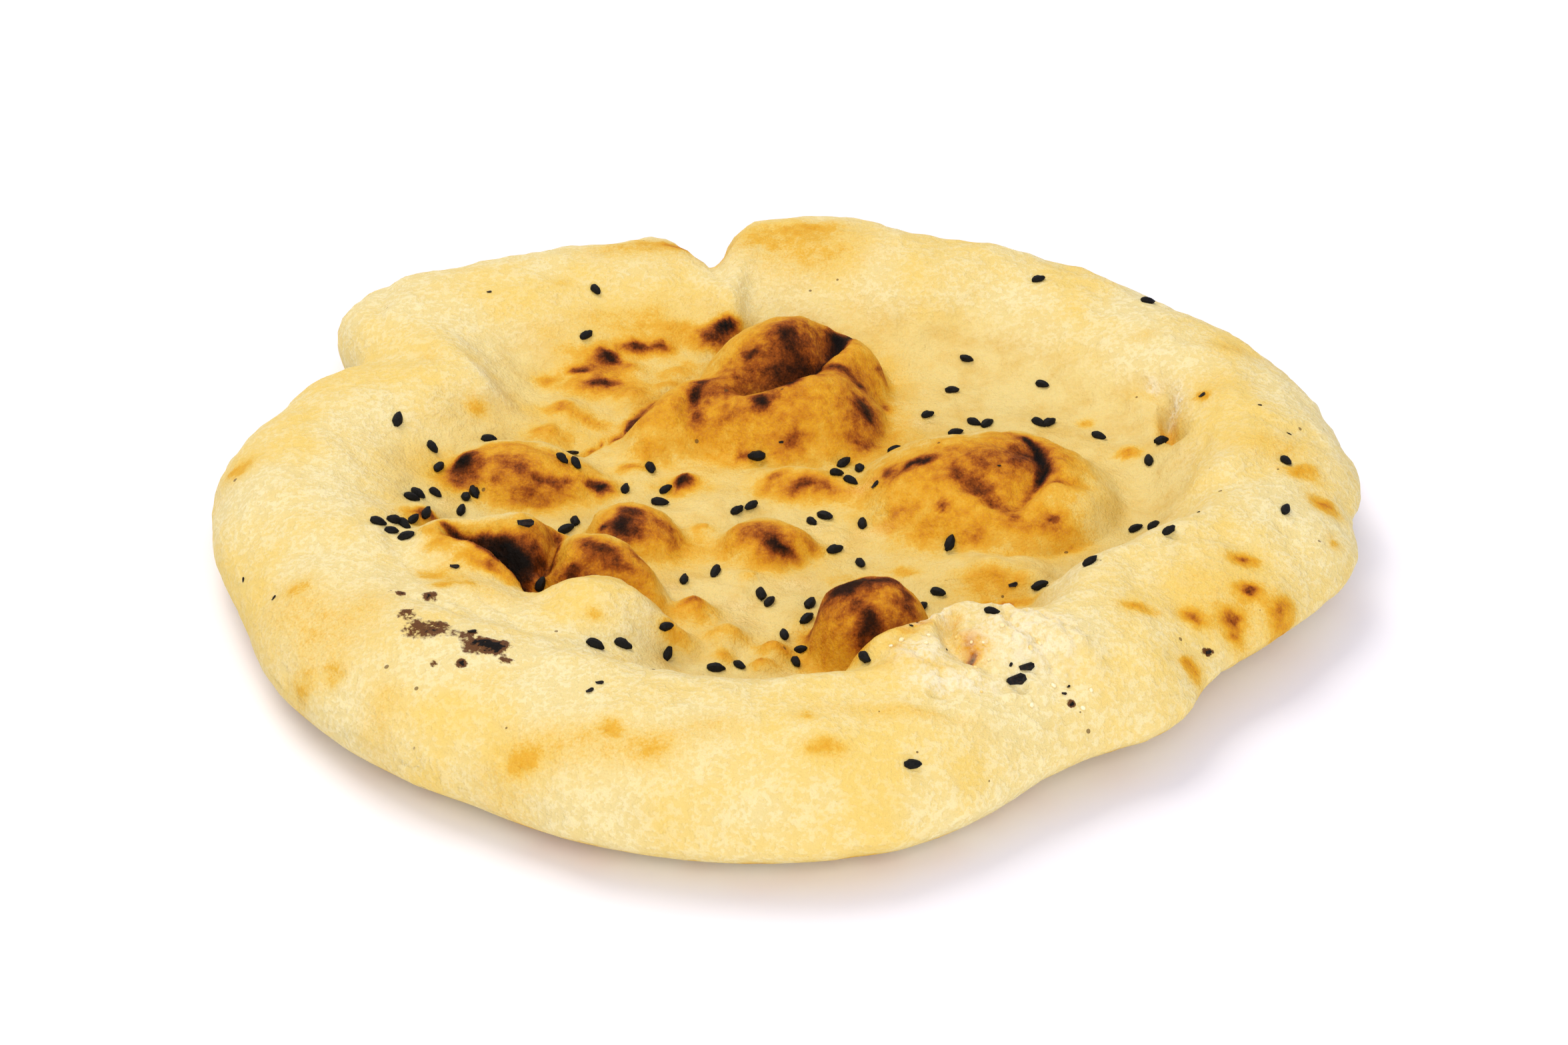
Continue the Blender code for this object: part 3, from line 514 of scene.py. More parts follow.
# Scorched spots: x, y, half length, half width, how far they baked, and the turn
# of the turned ones. 0.14 is pale gold, 0.4 gold, 0.54 orange, 0.67 brown, 1 black.
scorchSpots = [
    # the low bubble at the left of the dish
    (-49, 6.5, 12.5, 6, 0.34, -8), (-49, 2, 9, 4, 0.2, -6), (-50, 11.6, 9, 1.6, 0.3, -4),
    (-58.8, 8.6, 2.8, 1.5, 0.97, 12), (-59.2, 7.2, 3.8, 2.4, 0.5), (-59.5, 4.2, 2.6, 1.8, 0.4, 15),
    (-52.8, 2.9, 1.6, 1.2, 0.42), (-46.8, 4.8, 6.5, 0.9, 0.4, -18), (-44, 3, 4.5, 0.9, 0.42, -12),
    (-47.8, 0.8, 3, 1.2, 0.36, 10), (-44.5, 0.3, 2.6, 1.2, 0.3), (-40.2, 4.4, 2.4, 0.8, 0.5, 25),
    (-41.5, 8.5, 3, 1.2, 0.4, -20), (-50, 7.5, 4, 1, 0.26, -10), (-44, 22.5, 5, 2.8, 0.34, -10),
    (-57.6, 26.1, 2, 2, 0.26), (-64, -11.6, 3.2, 1.2, 0.66), (-64, -13.6, 4.4, 2.8, 0.3),
    (-34.3, 5.6, 1.8, 1.3, 0.85), (-33.8, 5, 3.4, 2.4, 0.34), (-37, 8.8, 2, 1, 0.14),
    # the burst pocket: its black hollow, the fold behind it, its right lobe, its lip
    (-46.5, -29, 5.6, 2.0, 0.97, -20), (-47, -31.5, 3, 2, 0.9, -30), (-51.5, -26.5, 4, 1.8, 0.85, -20),
    (-55, -27.5, 4.5, 1.5, 0.8, -25), (-43, -27.5, 1.8, 2, 0.6), (-50, -25, 7, 2.2, 0.42, -25),
    (-44, -25, 3.4, 2.6, 0.42), (-40.3, -24, 0.9, 5.5, 0.6), (-40.8, -18.6, 2, 1.8, 0.55),
    (-48, -21, 9, 2, 0.14, -6), (-42.5, -21.5, 1.8, 2.4, 0.3), (-60, -24.5, 4.5, 2, 0.18, -20),
    (-33, -30.5, 7.5, 4, 0.36, -22), (-32.5, -31, 3.4, 1.2, 0.6, -15), (-30.5, -33, 4.5, 1.6, 0.4, -20),
    (-36.5, -33.4, 3.6, 1.1, 0.7, -5), (-27.5, -34.4, 4, 2.4, 0.26, -20), (-26, -30, 3.5, 1.4, 0.4, -40),
    (-54, -32.5, 3.4, 1.5, 0.32, -20), (-50, -34.2, 3.4, 1.3, 0.46, -25), (-57, -36, 5, 3, 0.14, -20),
    (-60, -28.5, 3, 2, 0.24), (-55.5, -40.5, 4, 2, 0.14, -20), (-59.2, -41.5, 1.6, 1.6, 0.24),
    (-43, -37, 2.2, 1.2, 0.34, -40), (-35, -40, 7, 1, 0.16, -8), (-32.2, -50.4, 1.4, 1.1, 0.3),
    (-49, -44, 7, 3, 0.09, -20), (-23.5, -36, 2, 6, 0.2, 20),
    # domes in the dish
    (-26.5, -13, 9, 5.5, 0.36), (-26.5, -14, 6.5, 4, 0.36), (-28.2, -11.2, 2, 1.8, 0.7),
    (-29.2, -15.3, 2.6, 2.4, 0.9), (-20.5, -14.5, 2.4, 2.6, 0.3), (-32.3, -14, 0.9, 0.8, 0.7),
    (-4, -14.8, 8, 4.2, 0.36), (-5.5, -15, 4.8, 2.8, 0.38), (-1.4, -18.4, 3.2, 1.5, 0.96, -5),
    (4.5, -15.2, 3, 1.6, 0.36), (-4, -21, 6, 2.4, 0.12),
    # the scorched dome by the front rim
    (13.5, -43, 9.5, 8.5, 0.5), (9, -49, 6, 5, 0.28), (11, -43.2, 4, 2, 0.86, 8),
    (16, -42, 4, 1.2, 0.6, -8), (8, -42.5, 2, 1.6, 0.5), (14, -50.6, 2.4, 2, 0.86, 5),
    (20.5, -45.5, 2.2, 3.6, 0.55, -15), (20, -50, 3, 3, 0.3), (4.5, -42, 1.6, 3, 0.4),
    (11.5, -47.5, 2, 1, 0.2), (16.5, -53.5, 2, 2, 0.7),
    # the big collapsed bubble: its golden skin, then the brown and black places
    (1, 24, 18, 7, 0.34, 3), (0, 17, 17, 5.5, 0.22), (-19, 24, 9, 6, 0.26, 20), (1, 41, 17, 10, 0.34, 8),
    (-6, 33, 8, 5, 0.3, 15), (15, 30, 4.5, 12, 0.3), (9.8, 45.9, 3.2, 2, 0.97, 62),
    (0.4, 37.8, 3.2, 2.8, 0.62), (-6.6, 35.5, 1.8, 1.2, 0.66), (-0.5, 31.8, 3, 1.8, 0.5, 30),
    (2.5, 34.5, 1.6, 1.8, 0.4, 30), (-12, 34.2, 2.2, 1, 0.2, 20), (9.1, 33.6, 2.2, 1.2, 0.66),
    (13.2, 32.8, 1.6, 1, 0.6, -20), (14.7, 25.4, 2.2, 1.8, 0.75), (14.5, 22.5, 3.6, 4, 0.24),
    (12.7, 18.8, 2, 1.3, 0.42), (17.8, 40.5, 1.2, 2.6, 0.5, -25), (18.4, 35, 1.2, 1.8, 0.4),
    (0.9, 15.6, 2, 1.3, 0.45), (-1, 15.5, 6, 1.8, 0.14, 10), (-8, 15.4, 2.2, 1.2, 0.4),
    (-10.8, 21.2, 2.6, 1.8, 0.3), (-10.8, 27, 5, 1.6, 0.34, 10), (-4.6, 22, 2, 1.5, 0.95),
    (0.6, 26.4, 2.2, 1, 0.86, 30), (6.5, 29.6, 1.4, 1, 0.3), (-15.2, 30.6, 2.6, 1, 0.6, 20),
    (-17, 27.5, 1.9, 1, 0.62, 30), (-16.7, 22, 1, 2, 0.45), (-27, 26.8, 2.4, 2.6, 0.66, 30),
    (-23.5, 31.5, 3.5, 1.2, 0.6, 40), (-25.5, 15.8, 3, 1.4, 0.26), (-26, 21.5, 3.4, 2, 0.18),
    (-12.2, 54.8, 3.4, 1.8, 1), (-13.4, 53.6, 4.4, 2, 0.45, -20), (1.5, 39, 4, 5.5, 0.3),
    (-4, 31.5, 5.5, 3, 0.34), (3.4, 34.5, 2.6, 4, 0.3, -35), (7.6, 43, 2, 4.5, 0.3, -30),
    (-14, 29, 4.5, 3, 0.22, 20), (11.5, 33.5, 4, 3.5, 0.24),
    # the left of the dish's back wall
    (-34.2, 47.2, 2, 1.6, 0.88), (-35.5, 46, 4.4, 3.4, 0.42), (-28.2, 51, 1.8, 1.1, 0.7),
    (-30, 51, 3.4, 1.8, 0.36), (-24.2, 51.2, 1.7, 1, 0.7), (-24.4, 51, 3, 1.6, 0.28),
    (-35, 39.6, 3.6, 1.3, 0.72, 4), (-35.4, 39.2, 6, 2.6, 0.42), (-29.9, 45.3, 1.9, 1, 0.4),
    (-39.6, 43.9, 1.7, 0.9, 0.78), (-45.6, 42, 2.4, 1.8, 0.38), (-28.7, 36.2, 3, 1.8, 0.42, 20),
    (-20.4, 45.3, 3.4, 1.6, 0.3, 20), (-23.1, 40.5, 2.6, 1.3, 0.26), (-36, 43, 6, 6, 0.18),
    (-42.2, 31.2, 2.4, 1.4, 0.36), (-42.5, 30.5, 5.5, 2.2, 0.22, -10), (-38, 28, 4, 1.6, 0.3, -25),
    (-35.5, 26.8, 1.8, 1.2, 0.24), (-54.8, 36, 1.6, 1.4, 0.12), (-42.4, 49.8, 2.2, 1.6, 0.14),
    (-34, 57, 8, 3.6, 0.15), (-26, 58, 4, 4, 0.12), (-20.5, 55, 5, 2.4, 0.22), (-46, 53, 3, 2, 0.1),
    (-67, 38, 2, 2, 0.1), (-43, 66, 2, 1.6, 0.14),
    # the broad bubble on the right
    (33, -1.5, 18, 12, 0.3, -12), (28, -3, 11, 9, 0.16, -10), (38.5, 1, 6.5, 6, 0.34),
    (42.5, 4, 3, 5, 0.5, -5), (41.5, 10, 5, 1.8, 0.38, -5), (48.5, 4, 3.5, 7, 0.3), (52, 6, 5, 8, 0.14),
    (45.6, 5, 1.3, 3, 0.8, -5), (23.4, 1, 3, 0.8, 0.85, 18), (21.5, 1.2, 5.5, 2, 0.34, 18),
    (18.2, 1.5, 1.2, 2.2, 0.5), (48.5, -3.4, 4, 1, 0.36, 10), (47.3, -12.4, 1.1, 0.9, 0.55),
    (46.5, -12.4, 4.5, 2.4, 0.3), (41, -13.8, 4.5, 1.4, 0.3), (20.2, -8.6, 2.4, 1.9, 0.42),
    (32.6, -15.5, 2.6, 1.6, 0.46), (24.6, -13.4, 3, 2, 0.26), (28, -9.8, 1.1, 0.9, 0.5),
    (33.5, -7, 3.5, 2, 0.34, -30), (36, -9.5, 4.5, 1.2, 0.3, -45), (30.2, -1, 5, 3, 0.12),
    (49, -15.2, 5, 2, 0.26), (30, -13, 8, 3, 0.14, -10), (42, -17.8, 4, 1.6, 0.14),
    (56.3, 27.9, 1.7, 1.2, 0.3), (62.7, 16.4, 2.3, 1, 0.52, -10), (35, -26.5, 5.4, 3, 0.3, -5),
    (39.5, -27.5, 3, 1.6, 0.2), (20.4, -21.6, 2.2, 1.2, 0.34), (38.5, -31.5, 4.6, 1.1, 0.5, -5),
    # between the bubbles
    (4, 3.2, 8.5, 3.8, 0.26, -8), (-2.8, 5.4, 2.8, 1.6, 0.45, 20), (3.2, 3.5, 2.2, 1.1, 0.78),
    (8, 2.3, 4.2, 1.3, 0.4, -10), (0.5, 2.5, 3.5, 1.8, 0.2), (-28, 11.8, 2.5, 0.8, 0.5, 10),
    (-18.7, 6.8, 2, 1.3, 0.86), (-18.6, 6, 4, 2.4, 0.42), (-15.2, -7.9, 1.5, 1, 0.3),
    (-16, -34.6, 2.4, 1.3, 0.46), (-15.8, -36, 4.6, 3, 0.28), (-18.6, -46.4, 3, 1.8, 0.34, 20),
    (-10.2, -42.8, 4, 1.8, 0.28), (-2, -46.2, 3, 1.7, 0.36, -10), (-4.1, -51.1, 2, 1.3, 0.45),
    (-11.2, -48.7, 1.8, 2.2, 0.34), (-6.5, -24.3, 1.8, 1.1, 0.12), (-24, 14, 3, 1.6, 0.1),
    (12, -24, 5, 3, 0.12), (9, -25.5, 2, 1, 0.12), (-48, 14, 3, 1, 0.1),
    # toasted places on the rim
    (-84, -43, 8, 6, 0.11, -50), (-77, -53, 8, 6, 0.12, -40), (-70, -47, 4, 5, 0.09),
    (-75.2, -60.7, 2, 1.7, 0.2), (-81, -59, 1.6, 2.2, 0.17, 40), (-83.3, -39.8, 2, 1.6, 0.16),
    (-66, -71, 3.6, 5, 0.12), (-61.3, -36.2, 2.2, 1.5, 0.25), (-42, -86.2, 2, 1.5, 0.24),
    (-44, -85, 6, 3, 0.09), (-32, -86, 12, 4.5, 0.13, -12), (-21, -88, 4.5, 2.6, 0.14),
    (-12, -84.5, 6, 2.6, 0.11), (-28.5, -84, 1.7, 1.2, 0.26), (3, -82.5, 1.4, 1, 0.26),
    (6, -89, 3, 1.5, 0.32), (18, -80, 12, 1.6, 0.14), (-99, 2, 4.5, 4, 0.12), (-98.5, 2, 2, 1.6, 0.27),
    (58.8, -48.7, 2.6, 1.5, 0.41), (68.4, -46.4, 2.2, 1.6, 0.57), (75.4, -45.2, 2.2, 2.2, 0.68, -60),
    (79.2, -38.7, 1.5, 1.8, 0.8, -50), (78.8, -31.2, 2.4, 1.7, 0.57), (84.3, -40, 1.8, 3, 0.49, -30),
    (67.8, -56.6, 2, 1.7, 0.49), (74, -40, 12, 7, 0.09), (-2, 82, 13, 5, 0.17), (6, 84, 6, 2.2, 0.17),
    (5, 75, 12, 6, 0.16), (-28, 78.5, 11, 4, 0.19, 10), (-21.5, 80, 4, 1.4, 0.41),
    (92.5, -2.5, 3.2, 1.8, 0.41), (95.4, -9.8, 2.4, 2.2, 0.46), (88, 4, 8, 4, 0.15),
    (95.9, -20.8, 1.3, 1.6, 0.28), (84, 40, 4, 3, 0.17), (80, 26, 6, 4, 0.09),
    (76.8, 23.4, 1.4, 1.4, 0.41), (70.8, 20.5, 2.2, 4, 0.3), (66.5, 31.5, 3.4, 2, 0.12, -20),
    (68, 44, 3, 2, 0.12),
    # the torn flap
    (11.5, -62, 3.6, 1.8, 0.34, 50), (17, -58.5, 3.6, 1.2, 0.34, 40), (24, -52.8, 2.4, 0.9, 0.26, 30),
    (22.4, -57.7, 2.2, 1.4, 0.3), (18, -64.5, 1.6, 1.4, 0.22), (30.1, -64.3, 0.8, 1.1, 0.72),
    (30.5, -62.4, 1.9, 2.2, 0.4), (31.3, -62, 3, 3, 0.12), (19.5, -60, 2.4, 1.8, 0.18),
    (15, -69, 3, 1.8, 0.14), (21, -68, 4, 1, 0.1), (28.2, -57, 1, 4, 0.16), (23.5, -69.5, 3, 1, 0.14),
    (36, -57, 4, 1.6, 0.08, -30),
]

# Scorched creases, and a dark line in a tear that is partly browned and partly painted shadow: points,
# half width, how far they baked or how dark the shade is painted.
scorchAndShadowStreaks = [
    ([(13, 50), (10, 44), (6.5, 36.5), (2.4, 30.6), (-2.5, 27.6), (-7, 27.4)], 1.1, 0.85),
    ([(43.4, 9.5), (45.5, 6.5), (46.5, 2), (45.8, -1.5)], 1.2, 0.97),
    ([(45.5, -2), (43, -6.5), (40.6, -10.5)], 0.9, 0.36),
    ([(30, -3.2), (34.5, -5.6), (38, -9), (40, -12)], 1.3, 0.42),
    ([(-44, -33.4), (-39, -34.6), (-33, -35.2)], 0.8, 0.5),
    ([(-59.5, -21.8), (-55, -22.8), (-51, -25), (-47.5, -27.5)], 1.2, 0.8),
    ([(-57.5, -27.6), (-53.5, -29.6), (-50, -32)], 0.7, 0.5),
    ([(-29.2, 26.5), (-26.8, 31.5), (-22, 35.3), (-18, 38)], 1.4, 0.6),
    ([(-15.5, 30), (-17.2, 26.5), (-17.5, 22)], 0.9, 0.42),
    # the thin dark line in the tear between the low left bubble and the big bubble's tail: a little
    # browning, with the tear's shadow painted in
    ([(-29.5, 26), (-31.5, 24), (-34.6, 20.9), (-37.9, 17.7)], 0.45, 0.55),
]

# Soot that rubbed off the oven's wall: x, y, half length, half width, how thick
# it lies, and the turn.
sootMarks = [
    (-60.2, -57.6, 4.6, 2.8, 0.56, -12), (-57.6, -56.2, 2.2, 1.2, 0.3, -10),
    (-49.4, -62.5, 2.7, 1.7, 0.95, -12), (-46.6, -62.5, 2, 1.8, 0.4, 30), (-51.8, -63.2, 2.6, 2.2, 0.34),
    (-63.5, -52.8, 1.7, 1.6, 0.7, -20), (-60.2, -45.4, 1.6, 1.4, 0.66), (-65.6, -44.5, 2, 0.6, 0.66),
    (-53.4, -66.6, 1, 1, 1, 40), (-57.7, -65.9, 0.8, 0.5, 1, 20), (-52.1, -58.8, 1.2, 0.6, 0.9),
    (-44.8, -66.4, 0.9, 0.4, 0.8), (-46.5, -66, 1, 0.9, 0.6), (-60.2, -78.2, 0.5, 0.4, 1),
    (46.5, -71, 0.8, 0.7, 0.8), (71, -51.5, 1.2, 0.6, 1, 35), (-53.5, -60, 4, 1.6, 0.3, -25),
]

# Torn dough with its soft crumb laid bare, and moist places that glint: x, y,
# half length, half width, how strong, and the turn.
tornPlaces = [
    (38.5, -60, 9.5, 7, 1, -25), (24, -54.5, 5, 2, 1, 40), (27, -72, 8, 2.4, 1, 8),
    (40, -53, 7, 2, 1, -25), (22, -66, 5, 3, 1, 20), (68.5, 32.5, 2, 1.2, 1, -20), (73, 26, 1.5, 4, 1),
]
moistPlaces = [
    (5.5, -8, 2.6, 1.5, 1), (14.8, -10, 4, 1.8, 1), (-8.5, -31.5, 4, 2, 1), (-8, -36.5, 3, 1.8, 1),
    (-20, -27, 1.5, 1.5, 1), (-24.5, 10.3, 1.5, 1, 1), (13.5, 2, 2.5, 1.5, 1), (1.5, -25, 4, 2, 1),
    (9, -13, 3, 2, 1), (26, 29, 3, 2, 1), (-62, -1.5, 2, 1.4, 1),
]


paintForm = dict(
    # how far the spots' edges wander, in waves of what size, and a draw for x and for y
    ragged=[(0.9, 4.5, 3, 11), (0.5, 1.6, 5, 17)],
    spotEdge=1.1,     # how sharply the spots end, 1 for a soft bell
    halo=0.16,        # how far the ring round a scorched spot baked, as a share of the spot
    rimAbove=12.5,    # height at which the rim's dry crust starts
    rimRise=7,        # height over which it takes over
    rimWidth=24,      # distance in from the edge that it always covers, with its border
    rimFade=10,       # width of that border
    underSlope=0.5,   # how far a face looks down where the underside starts
    underFade=0.4,    # and how much further where all of it is underside
    charAbove=0.55,   # how far the crust baked where it starts to bubble
    charFade=0.35,    # and how much further where all of it bubbles
)


# One smooth random value, -1 to 1, at each point, in waves of about one size.
def wander(points, size, shift):
    offset = Vector((shift, -shift, 2 * shift))
    return np.array([noise.noise(Vector(p) / size + offset) for p in points])


# Spots laid over one another, each with a fainter ring of its own, twice as wide.
def addSpots(x, y, spots, halo=0):
    clear = np.ones(len(x))
    for middleX, middleY, halfLength, halfWidth, amount, *turn in spots:
        u, v = ownAxes(x, y, (middleX, middleY), *turn)
        out = (u / halfLength) ** 2 + (v / halfWidth) ** 2
        clear *= 1 - amount * np.exp(-out ** paintForm["spotEdge"])
        clear *= 1 - halo * amount * np.exp(-(out / 4) ** paintForm["spotEdge"])
    return 1 - clear


def paintCrust(bread):
    points = readPoints(bread.data) / mm
    x, y, z = points.T
    ragX, ragY = x, y
    for far, size, drawX, drawY in paintForm["ragged"]:
        ragX = ragX + far * wander(points, size, drawX)
        ragY = ragY + far * wander(points, size, drawY)

    pale = 1 - addSpots(ragX, ragY, scorchSpots, paintForm["halo"])
    # scorched creases darken the crust along their lines, and the tear's line adds painted shadow
    for line, halfWidth, amount in scorchAndShadowStreaks:
        distance = nearestOnLine((x + ragX) / 2, (y + ragY) / 2, smoothLine(line))[0]
        pale *= 1 - amount * np.exp(-(distance / halfWidth) ** 2)

    inside = outlineRadius(np.degrees(np.arctan2(y, x))) - np.hypot(x, y)
    high = smoothStep((z - paintForm["rimAbove"]) / paintForm["rimRise"])
    outer = smoothStep((paintForm["rimWidth"] - inside) / paintForm["rimFade"])
    normals = np.empty(len(points) * 3)
    bread.data.vertices.foreach_get("normal", normals)
    facingDown = -normals.reshape(-1, 3)[:, 2]
    under = smoothStep((facingDown - paintForm["underSlope"]) / paintForm["underFade"])
    top = 1 - under
    # bake holds the browning, and also the painted shadow along the tear's line
    paint = {"bake": (1 - pale) * top, "rim": np.maximum(high, outer), "under": under,
             "soot": addSpots(x, y, sootMarks) * top, "moist": addSpots(x, y, moistPlaces) * top,
             "torn": addSpots(ragX, ragY, tornPlaces) * top}
    for name, values in paint.items():
        attribute = bread.data.attributes.new(name, "FLOAT", "POINT")
        attribute.data.foreach_set("value", values.astype(np.float32))
    charred = smoothStep((paint["bake"] - paintForm["charAbove"]) / paintForm["charFade"])
    for name, values in (("charred", charred), ("tornGroup", paint["torn"])):
        group = bread.vertex_groups.new(name=name)
        for index in np.nonzero(values > 0.01)[0]:   # elsewhere it has no weight
            group.add([int(index)], values[index], "REPLACE")


paintCrust(bread)
addLumps(bread, puckers, "crust")
addLumps(bread, charGrains, "charred")
addLumps(bread, tornGrains, "tornGroup")
bread.vertex_groups.clear()
bpy.ops.object.shade_smooth()
print("crust painted,", len(scorchSpots), "scorched spots")


crustLook = dict(
    dish="#DFCA82", dishDeep="#D6B663",      # moist, yellower crust in the dish
    rim="#E1CF8E", rimGold="#E5C86E",        # dry crust of the rim, richer in places
    flour="#ECE0AC",                         # flaky film of flour on the rim
    crumb="#EDE3BE",                         # soft inside of the torn flap
    grain="#D79F42",                         # pale grains in the browned skin
    speck="#5E4020", sootBrown="#57290A", sootBlack="#120E0B",
    bakeColors=[(0, "#DFC064"), (0.14, "#E0BA4E"), (0.39, "#D69B20"), (0.54, "#BF7917"),
                (0.67, "#934B12"), (0.79, "#5E2C0D"), (0.88, "#331A0C"), (0.97, "#14100D")],
    # patterns: size in millimetres and detail of the golden patches, clouds,
    # mottles, wisps and grains
    patterns=[(24, 3), (7, 3), (2.4, 4), (0.9, 4), (0.42, 2)],
    reliefs=[0.55, 0.4, 0.13],               # height of the mottles, wisps and grains
    speckSpacing=5.5,
)


# Baked wheat dough: matt and slightly translucent, filmed with flour on the rim,
# grainy gold to brown where it blistered and dull black where it burnt.
def bakedDough():
    look = crustLook
    material, add = newMaterial("bakedDough")
    place = add("TexCoord").outputs["Object"]
    bake, soot, rim, torn, moist, under = [
        add("Attribute", attribute_name=name).outputs["Fac"]
        for name in ("bake", "soot", "rim", "torn", "moist", "under")]
    patches, clouds, mottle, wisps, grains = [
        add("TexNoise", {"Vector": place, "Scale": 1 / (size * mm), "Detail": detail, "Roughness": 0.6})
        for size, detail in look["patterns"]]

    # browning breaks up into mottles and grains where it is neither raw nor black
    unburnt = add("Math", {0: 1.05, 1: bake}, operation="SUBTRACT")
    partly = add("Math", {0: bake, 1: unburnt}, operation="MULTIPLY")
    mottled = add("MapRange",
                  {"Value": mottle, "From Min": 0.3, "From Max": 0.7, "To Min": -0.9, "To Max": 0.9})
    sandy = add("MapRange",
                {"Value": grains, "From Min": 0.3, "From Max": 0.7, "To Min": -0.45, "To Max": 0.45})
    uneven = add("Math", {0: mottled, 1: sandy}, operation="ADD")
    broken = add("Math", {0: uneven, 1: partly}, operation="MULTIPLY")
    baked = add("Math", {0: broken, 1: 0.5, 2: bake}, operation="MULTIPLY_ADD")

    # the underside scorched in blotches where the dough lay on the oven's wall
    blotches = add("MapRange", {"Value": clouds, "From Min": 0.46, "From Max": 0.72, "To Max": 0.7})
    baked = add("Math", {0: under, 1: blotches, 2: baked}, operation="MULTIPLY_ADD")

    # raw crust: yellower in the dish, golden or filmed with flour on the rim
    deep = add("MapRange", {"Value": clouds, "From Min": 0.42, "From Max": 0.66})
    dish = add("Mix", {0: deep, 6: look["dish"], 7: look["dishDeep"]}, data_type="RGBA")
    golden = add("MapRange", {"Value": patches, "From Min": 0.42, "From Max": 0.62})
    dry = add("Mix", {0: golden, 6: look["rim"], 7: look["rimGold"]}, data_type="RGBA")
    dough = add("Mix", {0: rim, 6: dish, 7: dry}, data_type="RGBA")
    film = add("Math", {0: wisps, 1: 1.3, 2: mottle}, operation="MULTIPLY_ADD")
    film = add("Math", {0: film, 1: 0.87}, operation="MULTIPLY")
    flakes = add("MapRange",
                 {"Value": film, "From Min": 0.96, "From Max": 1.1, "To Min": 0.06, "To Max": 0.8})
    bare = add("MapRange", {"Value": golden, "To Min": 1, "To Max": 0.35})
    onRim = add("MapRange", {"Value": rim, "To Min": 0.12})
    flourShare = add("Math", {0: flakes, 1: bare}, operation="MULTIPLY")
    flourShare = add("Math", {0: flourShare, 1: onRim}, operation="MULTIPLY")
    floury = add("Mix", {0: flourShare, 6: dough, 7: look["flour"]}, data_type="RGBA")

    # browned skin over it
    shade = add("ValToRGB", {"Fac": baked}, stops=look["bakeColors"])
    cover = add("MapRange", {"Value": baked, "From Max": 0.24})
    skin = add("Mix", {0: cover, 6: floury, 7: shade}, data_type="RGBA")

    # pale grains stand out of browned skin, and soft crumb shows where it tore
    grainy = add("MapRange", {"Value": grains, "From Min": 0.52, "From Max": 0.68})
    brown = add("MapRange", {"Value": baked, "From Min": 0.75, "From Max": 0.45, "To Max": 1.8})
    grainShare = add("Math", {0: brown, 1: partly}, operation="MULTIPLY")
    grainShare = add("Math", {0: grainy, 1: grainShare}, operation="MULTIPLY")
    openCrumb = add("MapRange", {"Value": film, "From Min": 0.75, "From Max": 1.1, "To Max": 0.9})
    crumbShare = add("Math", {0: openCrumb, 1: torn}, operation="MULTIPLY")

    # a few dark specks, and soot in ragged grains
    cells = add("TexVoronoi", {"Vector": place, "Scale": 1 / (look["speckSpacing"] * mm)})
    draw = add("SeparateColor", {0: cells.outputs["Color"]})
    reach = add("MapRange", {"Value": draw, "From Min": 0.5, "To Max": 0.085})
    speck = add("Math", {0: cells.outputs["Distance"], 1: reach}, operation="LESS_THAN")
    speckShare = add("Math", {0: speck, 1: 0.75}, operation="MULTIPLY")
    tatters = add("MapRange",
                  {"Value": film, "From Min": 0.7, "From Max": 1.3, "To Min": 0.45, "To Max": 1.55})
    ragged = add("Math", {0: soot, 1: tatters}, operation="MULTIPLY")
    smear = add("MapRange", {"Value": ragged, "From Min": 0.26, "From Max": 0.4, "To Max": 0.95})
    cake = add("MapRange", {"Value": ragged, "From Min": 0.58, "From Max": 0.76})
    for share, color in ((grainShare, "grain"), (crumbShare, "crumb"), (speckShare, "speck"),
                         (smear, "sootBrown"), (cake, "sootBlack")):
        skin = add("Mix", {0: share, 6: skin, 7: look[color]}, data_type="RGBA")

    # fine relief in millimetres: puckers, flakes of flour and grains
    relief = 0
    for pattern, height in zip((mottle, wisps, grains), look["reliefs"]):
        relief = add("Math", {0: pattern, 1: height, 2: relief}, operation="MULTIPLY_ADD")
    bump = add("Bump", {"Height": relief, "Distance": mm, "Strength": 1})

    # drier on the rim, wet in the moist places, and no shine where it burnt
    dull = add("MapRange", {"Value": rim, "To Min": 0.5, "To Max": 0.68})
    burnt = add("MapRange", {"Value": baked, "From Min": 0.6, "From Max": 0.9, "To Max": -0.16})
    roughness = add("Math", {0: moist, 1: -0.34, 2: dull}, operation="MULTIPLY_ADD")
    roughness = add("Math", {0: roughness, 1: burnt}, operation="ADD")
    sheen = add("MapRange", {"Value": moist, "To Min": 0.12, "To Max": 0.6})
    sheen = add("Math", {0: burnt, 1: 0.5, 2: sheen}, operation="MULTIPLY_ADD")
    shader = add("BsdfPrincipled", {
        "Base Color": skin, "Roughness": roughness, "Normal": bump, "IOR": 1.42,
        "Specular IOR Level": sheen, "Subsurface Weight": 0.1, "Subsurface Radius": (1, 0.6, 0.3),
        "Subsurface Scale": 2 * mm})
    add("OutputMaterial", {"Surface": shader})
    return material


# Moves a piece to the middle of its node, shrinks it where it is larger, and tells
# where its middle was.
def fitToFrame(piece, node):
    low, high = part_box(node)
    points = readPoints(piece.data)
    ownLow, ownHigh = points.min(0), points.max(0)
    share = np.minimum((np.array(high) - np.array(low)) / (ownHigh - ownLow), 1)
    middle = (ownLow + ownHigh) / 2
    points = (points - middle) * share
    points[:, 2] -= points[:, 2].min()
    writePoints(piece.data, points)
    return Vector((middle[0], middle[1], 0))


breadMiddle = fitToFrame(bread, "naan")
bread.data.materials.clear()
bread.data.materials.append(bakedDough())
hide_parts("naan")
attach(bread, "root")
print("crust finished, middle moved by", [round(size / mm, 3) for size in breadMiddle])


